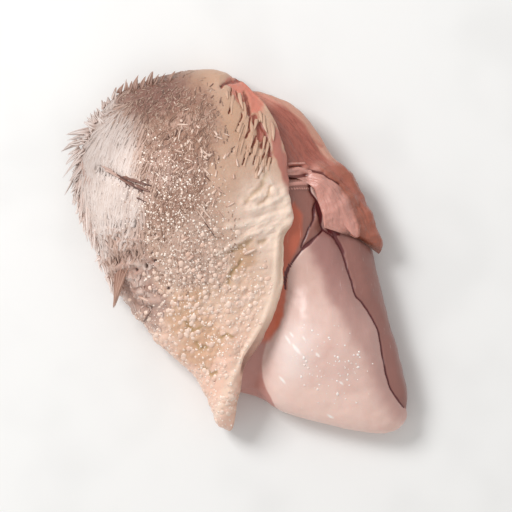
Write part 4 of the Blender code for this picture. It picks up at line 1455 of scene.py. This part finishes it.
QUILLS = (
    ((-27.3, 67.0), (-25.4, 63.6), 0.9), ((-22.4, 60.5), (-19.5, 61.9), 0.9),
    ((-24.9, 54.8), (-19.7, 54.7), 1.0), ((-23.2, 52.7), (-24.1, 48.0), 0.8),
    ((-19.9, 48.4), (-17.8, 46.0), 1.0), ((-27.5, 40.0), (-25.4, 37.8), 0.9),
    ((-22.0, 40.0), (-17.8, 38.5), 0.8), ((-15.2, 44.5), (-10.1, 40.5), 1.3),
    ((-15.2, 42.2), (-11.2, 39.5), 1.0), ((-13.4, 35.9), (-10.2, 32.5), 1.0),
    ((-8.6, 49.8), (-4.8, 48.3), 0.9), ((-4.6, 50.8), (-1.8, 49.9), 0.8),
    ((12.6, 36.8), (10.5, 32.4), 1.6), ((-8.0, 27.8), (-4.3, 24.6), 1.0),
    ((-7.0, 17.2), (-4.4, 13.9), 1.0), ((-15.0, 19.8), (-9.7, 13.4), 1.1),
    ((-16.1, 17.8), (-11.9, 12.3), 0.8), ((-20.8, 4.6), (-22.0, 0.9), 0.8),
    ((-23.0, 7.7), (-24.3, 2.6), 0.9), ((-18.0, 2.0), (-19.6, -0.7), 0.8),
    ((-41.7, -20.2), (-36.4, -22.6), 1.5), ((4.4, -1.8), (9.6, 0.6), 1.6),
    ((-11.4, 6.4), (-9.2, 3.3), 0.8), ((-2.6, 19.1), (0.4, 20.9), 0.9),
)
DARK_QUILLS = (
    ((-12.8, 12.5), (-7.8, 5.4), 0.6), ((-39.8, -31.6), (-36.1, -26.3), 0.9),
    ((-31.0, 70.4), (-30.5, 66.7), 1.0), ((-53.2, -10.3), (-50.6, -8.8), 0.6),
    ((-12.8, 32.8), (-10.1, 30.1), 0.6), ((-32.6, 25.3), (-33.9, 22.7), 0.7),
    ((-24.6, 52.6), (-25.5, 49.5), 0.7),
)
FINGERS = (
    ((9.9, 57.4), (9.0, 52.6), 1.8), ((8.1, 51.3), (7.0, 44.2), 1.2),
    ((10.3, 48.2), (9.0, 41.1), 1.3), ((12.8, 59.2), (14.5, 51.3), 2.2),
    ((13.6, 49.9), (12.5, 42.9), 1.4), ((16.1, 56.1), (17.2, 47.7), 2.4),
    ((15.0, 47.3), (13.4, 40.3), 1.4), ((4.2, 64.9), (5.3, 57.9), 1.5),
    ((2.2, 68.9), (4.2, 61.4), 1.9), ((-0.4, 68.0), (-0.9, 59.2), 1.8),
    ((-3.5, 70.2), (-2.6, 66.2), 1.7), ((5.9, 57.0), (4.4, 49.1), 1.1),
    ((3.1, 54.8), (1.8, 47.3), 1.1), ((6.6, 43.3), (4.6, 36.3), 1.3),
    ((10.8, 41.1), (8.8, 34.1), 1.3), ((1.1, 59.2), (0.0, 51.7), 1.1),
    ((11.0, 60.9), (12.3, 55.7), 1.6), ((4.4, 48.6), (2.6, 41.6), 1.0),
    ((15.8, 40.7), (15.0, 34.5), 1.5), ((2.0, 46.4), (0.9, 40.7), 0.9),
)
# The dark slit in the down and its pinkish ends
SLIT_STRANDS = (
    ((-52.4, 33.6), (-46.2, 30.4), 1.2), ((-50.6, 32.2), (-43.6, 27.8), 1.3),
    ((-48.4, 32.4), (-42.4, 29.6), 1.4), ((-46.2, 30.0), (-39.6, 25.6), 1.6),
    ((-45.0, 31.2), (-38.3, 28.3), 1.4), ((-43.1, 28.4), (-36.4, 25.4), 1.7),
    ((-41.8, 29.6), (-35.6, 28.0), 1.1), ((-41.4, 26.4), (-38.8, 24.6), 0.6),
    ((-47.5, 29.4), (-44.9, 27.6), 0.5), ((-42.2, 22.9), (-40.0, 22.0), 0.9),
    ((-40.0, 21.8), (-37.8, 20.9), 0.7), ((-41.4, 29.3), (-38.3, 31.0), 0.6),
    ((-37.6, 31.0), (-37.2, 29.3), 1.0), ((-62.7, 46.0), (-62.0, 43.3), 0.9),
)
PINK_STRANDS = (
    ((-57.9, 37.0), (-52.5, 34.4), 1.1), ((-56.6, 35.3), (-50.8, 33.0), 1.5),
    ((-54.4, 34.4), (-49.4, 31.6), 1.3), ((-45.8, 29.3), (-40.0, 26.8), 1.2),
    ((-64.2, 49.5), (-60.3, 46.9), 0.9), ((-64.8, 48.6), (-61.6, 46.0), 0.8),
    ((-67.6, 40.2), (-67.2, 33.6), 0.9), ((-66.6, 39.4), (-65.8, 32.4), 1.0),
    ((-65.7, 38.0), (-64.9, 31.8), 0.8), ((-64.4, 33.0), (-65.9, 27.4), 1.0),
    ((-63.4, 32.6), (-64.6, 26.8), 1.0), ((-62.6, 31.6), (-63.6, 27.4), 0.7),
)
TUBE_ROWS, TUBE_SIDES = 11, 7
STRAND_PITCH = 0.5
TUFT_SINK = 0.7
TUFT_FALL = 0.22


def on_skin(places):
    """The points of the skin's outer face at places seen from above."""
    places = np.array(places, float)
    above = SKIN + SKIN_GAP
    disc = disc_of(places, hanging=True)
    for _ in range(3):
        disc = disc_of(places - above * normals(disc, hanging=True)[..., :2], hanging=True)
    return lifted(disc, np.full(disc.shape[:-1], above), hanging=True)


def tube(spine, widths, flatness):
    """Rings round a line of points, flat against the ground."""
    way = spine[-1] - spine[0]
    side = np.array((-way[1], way[0], 0.0)) / np.hypot(way[0], way[1])
    turn = np.linspace(0, math.tau, TUBE_SIDES, endpoint=False)[:, None]
    ring = side * np.cos(turn) + np.array((0, 0, flatness)) * np.sin(turn)
    return spine[:, None] + 0.5 * widths[:, None, None] * ring


def tuft(start, end, width, draws):
    """The tubes of one tuft."""
    start, end = np.array(start), np.array(end)
    way = end - start
    side = np.array((-way[1], way[0])) / np.linalg.norm(way)
    count = max(2, round(width / STRAND_PITCH))
    share = np.linspace(0, 1, TUBE_ROWS)[:, None]
    made = []
    for place in np.linspace(-0.5, 0.5, count):
        reach = draws.uniform(0.72, 1.0) if abs(place) > 0.3 else draws.uniform(0.9, 1.0)
        root = start + side * width * place - way * draws.uniform(0.0, 0.15)
        tip = start + way * reach + side * width * place * 0.25
        bow = draws.uniform(-0.4, 0.4)
        flat = root + (tip - root) * share + side * bow * np.sin(math.pi * share)
        top = on_skin(root[None])[0, 2] - TUFT_SINK
        rise = top + share * 0.9 - share**2 * (TUFT_FALL * np.linalg.norm(way) + 0.9)
        rise = rise + draws.uniform(-0.3, 0.3)
        spine = np.concatenate((flat, rise), axis=1)
        taper = (1.02 - share[:, 0]) ** 0.7 * np.minimum(1, 0.7 + 2 * share[:, 0])
        made.append(tube(spine, 2.1 * width / count * taper, 0.32))
    return made


def lying(start, end, width, draws):
    """The tube of one quill that lies on the skin. It is straight, so it makes no draws."""
    share = np.linspace(0, 1, TUBE_ROWS)[:, None]
    flat = np.array(start) + (np.array(end) - np.array(start)) * share
    spine = on_skin(flat) + np.array((0, 0, 1.0)) * (0.12 + 0.35 * share)
    taper = (1.02 - share[:, 0]) ** 0.35 * np.minimum(1, 0.25 + 4 * share[:, 0])
    return [tube(spine, width * taper, 0.6)]


def finger(start, end, width, draws):
    """The ribbon of one frayed strand: it leaves the skin at its root and tapers to a point."""
    share = np.linspace(0, 1, TUBE_ROWS)[:, None]
    start, end = np.array(start), np.array(end)
    way = end - start
    bow = draws.uniform(-0.5, 0.5) * np.array((-way[1], way[0])) / np.linalg.norm(way)
    spine = on_skin(start + way * share + bow * np.sin(math.pi * share))
    spine += np.array((0, 0, 1.0)) * (0.8 * share - 0.35)
    taper = (1.02 - share[:, 0]) ** 0.65 * np.minimum(1, 0.6 + 2 * share[:, 0])
    return [tube(spine, 1.15 * width * taper, 0.4)]


def tubes_mesh(name, make, table, material, seed):
    """One closed mesh of the tubes of all rows in a table."""
    draws = np.random.default_rng(seed)
    rings = np.array([ring for row in table for ring in make(*row, draws)])
    index = np.arange(rings[..., 0].size).reshape(rings.shape[:3])
    turned = np.roll(index, -1, axis=2)
    walls = np.stack((index[:, :-1], turned[:, :-1], turned[:, 1:], index[:, 1:]), axis=-1)
    faces = walls.reshape(-1, 4).tolist() + index[:, 0, ::-1].tolist() + index[:, -1].tolist()
    mesh = bpy.data.meshes.new(name)
    mesh.from_pydata(((rings.reshape(-1, 3) - ORIGIN) * MM).tolist(), [], faces)
    count = len(rings)
    tip = np.tile(np.repeat(np.linspace(0, 1, TUBE_ROWS), TUBE_SIDES), count)
    tone = np.repeat(draws.uniform(0, 1, count), TUBE_ROWS * TUBE_SIDES)
    for mark, values in (("tip", tip), ("own_tone", tone)):
        mesh.attributes.new(mark, "FLOAT", "POINT").data.foreach_set("value", values)
    mesh.shade_smooth()
    mesh.validate()
    mesh.materials.append(material)
    mesh.calc_loop_triangles()
    print(f"{name}: {len(mesh.loop_triangles)} triangles")
    return placed(name, mesh)


# %% Placing them
skin_pieces += [
    tubes_mesh("fringe_tufts", tuft, TUFTS, GREY_FRINGE, 81),
    tubes_mesh("brown_tufts", tuft, BROWN_TUFTS, BROWN_FRINGE, 83),
    tubes_mesh("placed_quills", lying, QUILLS, QUILL, 85),
    tubes_mesh("dark_quills", lying, DARK_QUILLS, DARK_QUILL, 87),
    tubes_mesh("frayed_fingers", finger, FINGERS, FRAYED, 89),
    tubes_mesh("dark_slit", lying, SLIT_STRANDS, DARK_BLOOD, 91),
    tubes_mesh("pink_strands", lying, PINK_STRANDS, PINK_DOWN, 93),
]

# %% [markdown]
# Specks and beads
#
# Plucked skin glitters with tiny pale specks, small bumps whose near-white colour is a painted
# highlight, and carries round beads of fat lower down. Both are a small ball, flattened on the skin
# and half sunk in it, in a second tree.

# %% The bead tree
BALL_STEPS = 2


def bead_tree():
    grower = Grower(
        "beads", Mark="String", Density="Float", Smallest="Float", Largest="Float",
        Flatness="Float", Sunk="Float", Seed="Int", Material="Material",
    )
    given = grower.given
    _, points, normal, turn = grower.scattered()
    chance = grower.random(0.0, 1.0, 1)
    spread = grower.math("SUBTRACT", given["Largest"], given["Smallest"])
    size = grower.math("MULTIPLY", grower.math("POWER", chance, 2.0), spread)
    size = grower.math("ADD", size, given["Smallest"])
    long = grower.math("MULTIPLY", size, grower.random(0.8, 1.5, 2))
    thick = grower.math("MULTIPLY", size, given["Flatness"])
    scale = grower.add("ShaderNodeCombineXYZ", size, long, thick)[0]
    down = grower.math("MULTIPLY", grower.math("MULTIPLY", thick, given["Sunk"]), -1.0)
    shift = grower.scaled(normal, down)
    points = grower.add("GeometryNodeSetPosition", points, None, None, shift)[0]
    ball = grower.add("GeometryNodeMeshIcoSphere", 1.0, BALL_STEPS)[0]
    balls = grower.add(
        "GeometryNodeInstanceOnPoints", Points=points, Instance=ball, Rotation=turn, Scale=scale
    )[0]
    tone = grower.random(0.0, 1.0, 5)
    return grower.finish(grower.store(balls, "own_tone", tone, domain="INSTANCE"))


BEADS = bead_tree()


def bead_finish(name, light, dark, wet):
    finish = Finish(name, light, 0.35, Coat_Weight=wet, Coat_Roughness=0.12, **FLESH_GLOW)
    finish.cover(dark, finish.between("own_tone", 0.3, 1.0))
    finish.cover(light, finish.noise(0.7, detail=2), 0.3)
    finish.paint_lamp_side_shade()
    finish.roughen(finish.noise(0.6, detail=2), 0.06)
    return finish.done()


# The pale specks are small bumps whose near-white colour is a painted highlight
PALE_SPECK_HIGHLIGHT = bead_finish("pale speck highlight", (250, 235, 223), (212, 182, 164), 0.5)
FAT_BEAD = bead_finish("bead of fat", (240, 212, 195), (224, 185, 164), 0.4)
# Moisture drops whose near-white colour is a painted highlight
MOISTURE_DROP_HIGHLIGHT = bead_finish("moisture drop highlight", (250, 240, 234), (240, 218, 208), 0.9)

BEAD_KINDS = {
    "pale_speck_highlights": dict(
        Mark="specks", Density=7e5, Smallest=0.00018, Largest=0.00052, Flatness=0.7, Sunk=0.2,
        Seed=51, Material=PALE_SPECK_HIGHLIGHT,
    ),
    "down_speck_highlights": dict(
        Mark="down", Density=0.7e5, Smallest=0.00018, Largest=0.0004, Flatness=0.6, Sunk=0.0,
        Seed=53, Material=PALE_SPECK_HIGHLIGHT,
    ),
    "low_speck_highlights": dict(
        Mark="grain", Density=2.2e5, Smallest=0.0002, Largest=0.00055, Flatness=0.7, Sunk=0.2,
        Seed=55, Material=PALE_SPECK_HIGHLIGHT,
    ),
    "fat_beads": dict(
        Mark="grain", Density=1.3e5, Smallest=0.0006, Largest=0.00135, Flatness=0.42, Sunk=0.35,
        Seed=58, Material=FAT_BEAD,
    ),
}
skin_pieces += [grown(name, BEADS, skin, **sizes) for name, sizes in BEAD_KINDS.items()]
# Moisture drops on the lobe, their near-white colour a painted highlight
drops = grown(
    "lobe_drop_highlights", BEADS, fillet, Mark="drops", Density=1.2e5, Smallest=0.00022,
    Largest=0.00065, Flatness=0.4, Sunk=0.1, Seed=61, Material=MOISTURE_DROP_HIGHLIGHT,
)

# %% [markdown]
# The shoulder muscle
#
# A dark red strap runs down the upper right and ends in a torn, lumpy flap. Muscle is bundles of
# fibres, so its mesh is a loft along the strap: stations from end to end, each a closed ring
# round the strap. How far along and across a place lies is stored there, and the fibres in the
# relief and in the finish both run along it.

# %% Sizes of the shoulder muscle
MUSCLE_REACH = 0.992
MUSCLE_GAP = 0.9
MUSCLE_SUNK = 0.6
MUSCLE_EDGE = 0.6
RIDGE = 2.6, 0.8, 0.16
VALLEY = 1.2, 0.45, 0.2
FLAP_HEIGHT = 3.6
RIDGE_RISE = 0.3
FLAP_START, FLAP_RISE = 0.5, 0.15
END_THICKNESS, END_RISE, TORN_RISE = 0.35, 0.12, 0.05
# The torn end: how far across, and which share of the length is missing there
TORN_END = (
    (0.0, 0.1, 0.24, 0.3, 0.38, 0.46, 0.75, 0.9, 1.0),
    (0.0, 0.035, 0.05, 0.012, 0.008, 0.035, 0.018, 0.0, 0.0),
)
LUMPS = (
    ((39.5, 26.0), 2.4, 5.0), ((44.0, 17.0), 2.6, 6.5), ((50.0, 8.5), 2.2, 5.5),
    ((38.5, 5.5), 1.2, 2.5), ((52.5, 5.0), 1.6, 2.8), ((58.5, 1.0), 1.4, 3.0),
    ((32.0, 36.7), 0.9, 1.2), ((38.3, 10.8), 0.9, 1.4), ((48.0, 7.7), 1.0, 1.7),
    ((57.0, 5.1), 1.0, 1.5), ((33.5, 27.0), 1.2, 2.4), ((36.0, 30.0), 1.4, 3.0),
    ((47.0, 22.0), 1.2, 3.0), ((54.0, 14.0), 1.0, 3.0),
)
THINNED = 2.6
THIN_PLACE = (27.5, 31.0), (6.0, 4.5)
RIDGE_STREAKS = (
    (((36.5, 43.3), (44.4, 31.0), (53.2, 19.6)), 0.7), (((28.0, 56.0), (38.0, 45.0)), 0.5),
)
MUSCLE_STATIONS, MUSCLE_SPOKES = 260, 180


def run_of(shape, across):
    """The height of a long ridge, given as its height, its place and its half width."""
    height, place, half_width = shape
    return height * bell((across - place) / half_width)


def sampled(path, shares):
    """The places at the given shares of a path's length."""
    whole = np.linspace(0, 1, len(path))
    return np.stack([np.interp(shares, whole, column) for column in path.T], axis=-1)


def make_muscle():
    inner = disc_of(resampled(smooth_path(MUSCLE_HIDDEN + MUSCLE_TORN), MUSCLE_STATIONS))
    offset = resampled(smooth_path(MUSCLE_OUTER), MUSCLE_STATIONS) - MIDDLE
    outer = on_disc(np.arctan2(offset[:, 1], offset[:, 0]), MUSCLE_REACH)
    round_turn = np.linspace(0, math.tau, MUSCLE_SPOKES, endpoint=False)
    across = (0.5 - 0.5 * np.cos(round_turn)) * np.ones((MUSCLE_STATIONS, 1))
    along = np.linspace(0, 1, MUSCLE_STATIONS)[:, None] * np.ones(MUSCLE_SPOKES)
    upper = np.sin(round_turn)
    thick = np.abs(upper) ** MUSCLE_EDGE * np.sign(upper)
    pulled = along * (1 - np.interp(across, *TORN_END))
    disc = sampled(inner, pulled) + sampled(outer - inner, pulled) * across[..., None]
    points = dome(disc[..., 0], disc[..., 1])
    x, y = points[..., 0], points[..., 1]
    bottom = MUSCLE_GAP - hollow_depth(x, y)
    torn = smoothstep((along - FLAP_START) / FLAP_RISE)
    strap = run_of(RIDGE, across) * smoothstep(along / RIDGE_RISE)
    strap -= run_of(VALLEY, across) * (1 - torn)
    top = strap - MUSCLE_SUNK + FLAP_HEIGHT * torn + humps(LUMPS, x, y)
    bundle = np.stack((along * 14, across * 22), axis=-1)
    fibre = np.stack((along * 20, across * 70), axis=-1)
    top += 0.35 * noise(bundle, 1, seed=31) + 0.16 * noise(fibre, 1, seed=33)
    top += torn * 0.6 * layered_noise(points, 4.5, seed=35)
    top -= 1.3 * strokes(SHADOW_GAPS, x, y) + 0.4 * strokes(RIDGE_STREAKS, x, y)
    top += 0.7 * strokes(STRINGS, x, y)
    top -= THINNED * patch(x, y, *THIN_PLACE, turn=0, soft=0.5)
    level = (top + bottom) / 2
    ends = np.minimum(1, END_THICKNESS + np.minimum(along / END_RISE, (1 - along) / TORN_RISE))
    rings = lifted(disc, level + (top - bottom) / 2 * thick * ends)
    marks = {"across": across, "along": along, "torn": torn}
    marks["gaps"], marks["strings"] = strokes(SHADOW_GAPS, x, y), strokes(STRINGS, x, y)
    marks["streaks"] = strokes(RIDGE_STREAKS, x, y)
    marks["run"] = np.stack((along * 90, across * 40, np.zeros(along.shape)), axis=-1)
    return closed_surface("shoulder_muscle_surface", rings, marks)


muscle = make_muscle()


# %% The shoulder muscle's finish
def muscle_finish():
    finish = Finish("dark muscle", (166, 93, 77), 0.36, **WET, **FLESH_GLOW)
    length = finish.mapped(finish.mark("run", "Vector"), (0.0002, 0.0009, 0.001))
    fibre = finish.noise(1.0, detail=4, source=length, warp=0.4)
    soft = finish.noise(6, detail=4)
    fine = finish.noise(1.3, detail=4, rough=0.7)
    finish.cover((140, 70, 57), finish.between(fibre, 0.46, 0.7))
    # A painted highlight: the strap's top end lighter, in salmon
    top = finish.math("MULTIPLY", finish.between("along", 0.3, 0.12), 0.9)
    finish.cover((206, 138, 120), finish.patchy(top, fibre, 0.5, 0.4))
    # Painted light on the raised outer ridge, in lighter salmon
    lit_ridge = finish.between("across", 0.6, 0.74)
    finish.cover((200, 148, 128), finish.patchy(lit_ridge, fibre, 0.5, 0.3))
    finish.cover((206, 147, 134), finish.patchy("torn", soft, 0.3, 0.3))
    # Painted shade on the right part of the torn flap, in orange-brown
    outer = finish.between("across", 0.28, 0.52)
    outer = finish.math("MULTIPLY", outer, "torn")
    finish.cover((164, 94, 73), finish.patchy(outer, fine, 0.6, 0.35))
    finish.cover((226, 178, 160), finish.between(fibre, 0.6, 0.78), 0.4)
    finish.cover((176, 104, 88), "streaks", 0.7)
    # Painted shadow in the carved gaps beside the strings
    finish.cover((112, 52, 44), finish.between("gaps", 0.3, 0.8))
    finish.cover((208, 150, 138), finish.between("strings", 0.3, 0.7))
    finish.roughen(fibre, 0.35)
    finish.roughen(fine, 0.2)
    return finish.done()


muscle.data.materials.append(muscle_finish())

# %% [markdown]
# Floor, light and camera
#
# The breast lies on a plain pale floor. One large soft lamp stands at the upper left, where the
# light on the breast comes from, and a white sky fills the shadows. The camera looks straight
# down from far off, so the outline has almost no perspective.

# %% The stage
FLOOR_HALF = 1.5
FLOOR_BELOW = 0.0002
LAMP_PLACE = Vector((-0.62, 0.5, 0.85))
LAMP_POWER = 9.0
LAMP_SIZE = 0.45
SKY = 0.62
CAMERA_AIM = Vector((0.00888, -0.00332, 0.010))
CAMERA_HEIGHT = 2.5
SEEN_WIDTH = 0.2253
SENSOR = 36.0


def make_floor():
    mesh = bpy.data.meshes.new("floor")
    ways = (-1, -1), (1, -1), (1, 1), (-1, 1)
    corners = [(x * FLOOR_HALF, y * FLOOR_HALF, -FLOOR_BELOW) for x, y in ways]
    mesh.from_pydata(corners, [], [(0, 1, 2, 3)])
    finish = Finish("pale floor", (240, 240, 239), 0.75)
    finish.cover((234, 234, 233), finish.between(finish.noise(60, detail=2), 0.4, 0.7))
    mesh.materials.append(finish.done())
    return placed("floor", mesh)


def make_light():
    lamp = bpy.data.lights.new("key", "AREA")
    lamp.energy = LAMP_POWER
    lamp.size = LAMP_SIZE
    key = placed("key", lamp)
    key.location = LAMP_PLACE
    key.rotation_euler = (-LAMP_PLACE).to_track_quat("-Z", "Y").to_euler()
    world = bpy.data.worlds.new("sky")
    world.use_nodes = True
    background = world.node_tree.nodes["Background"]
    background.inputs["Color"].default_value = (1.0, 0.985, 0.97, 1.0)
    background.inputs["Strength"].default_value = SKY
    bpy.context.scene.world = world


def make_camera():
    data = bpy.data.cameras.new("camera")
    data.sensor_width = SENSOR
    data.lens = SENSOR * (CAMERA_HEIGHT - CAMERA_AIM.z) / SEEN_WIDTH
    camera = placed("camera", data)
    camera.location = (CAMERA_AIM.x, CAMERA_AIM.y, CAMERA_HEIGHT)
    bpy.context.scene.camera = camera


floor = make_floor()
make_light()
make_camera()
bpy.context.scene.view_settings.view_transform = "Standard"

# %% [markdown]
# What stands for what
#
# Every piece rides on the one body, and the three main surfaces hide the solids that they stand for.

# %% Riding
for piece, node, slot in (
    (fillet, "fillet", "pale_meat"),
    (muscle, "shoulder_muscle", "red_meat"),
    (skin, "skin", "skin"),
):
    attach(piece, "root")
    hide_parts(node)
for piece in skin_pieces:
    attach(piece, "root")
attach(drops, "root")
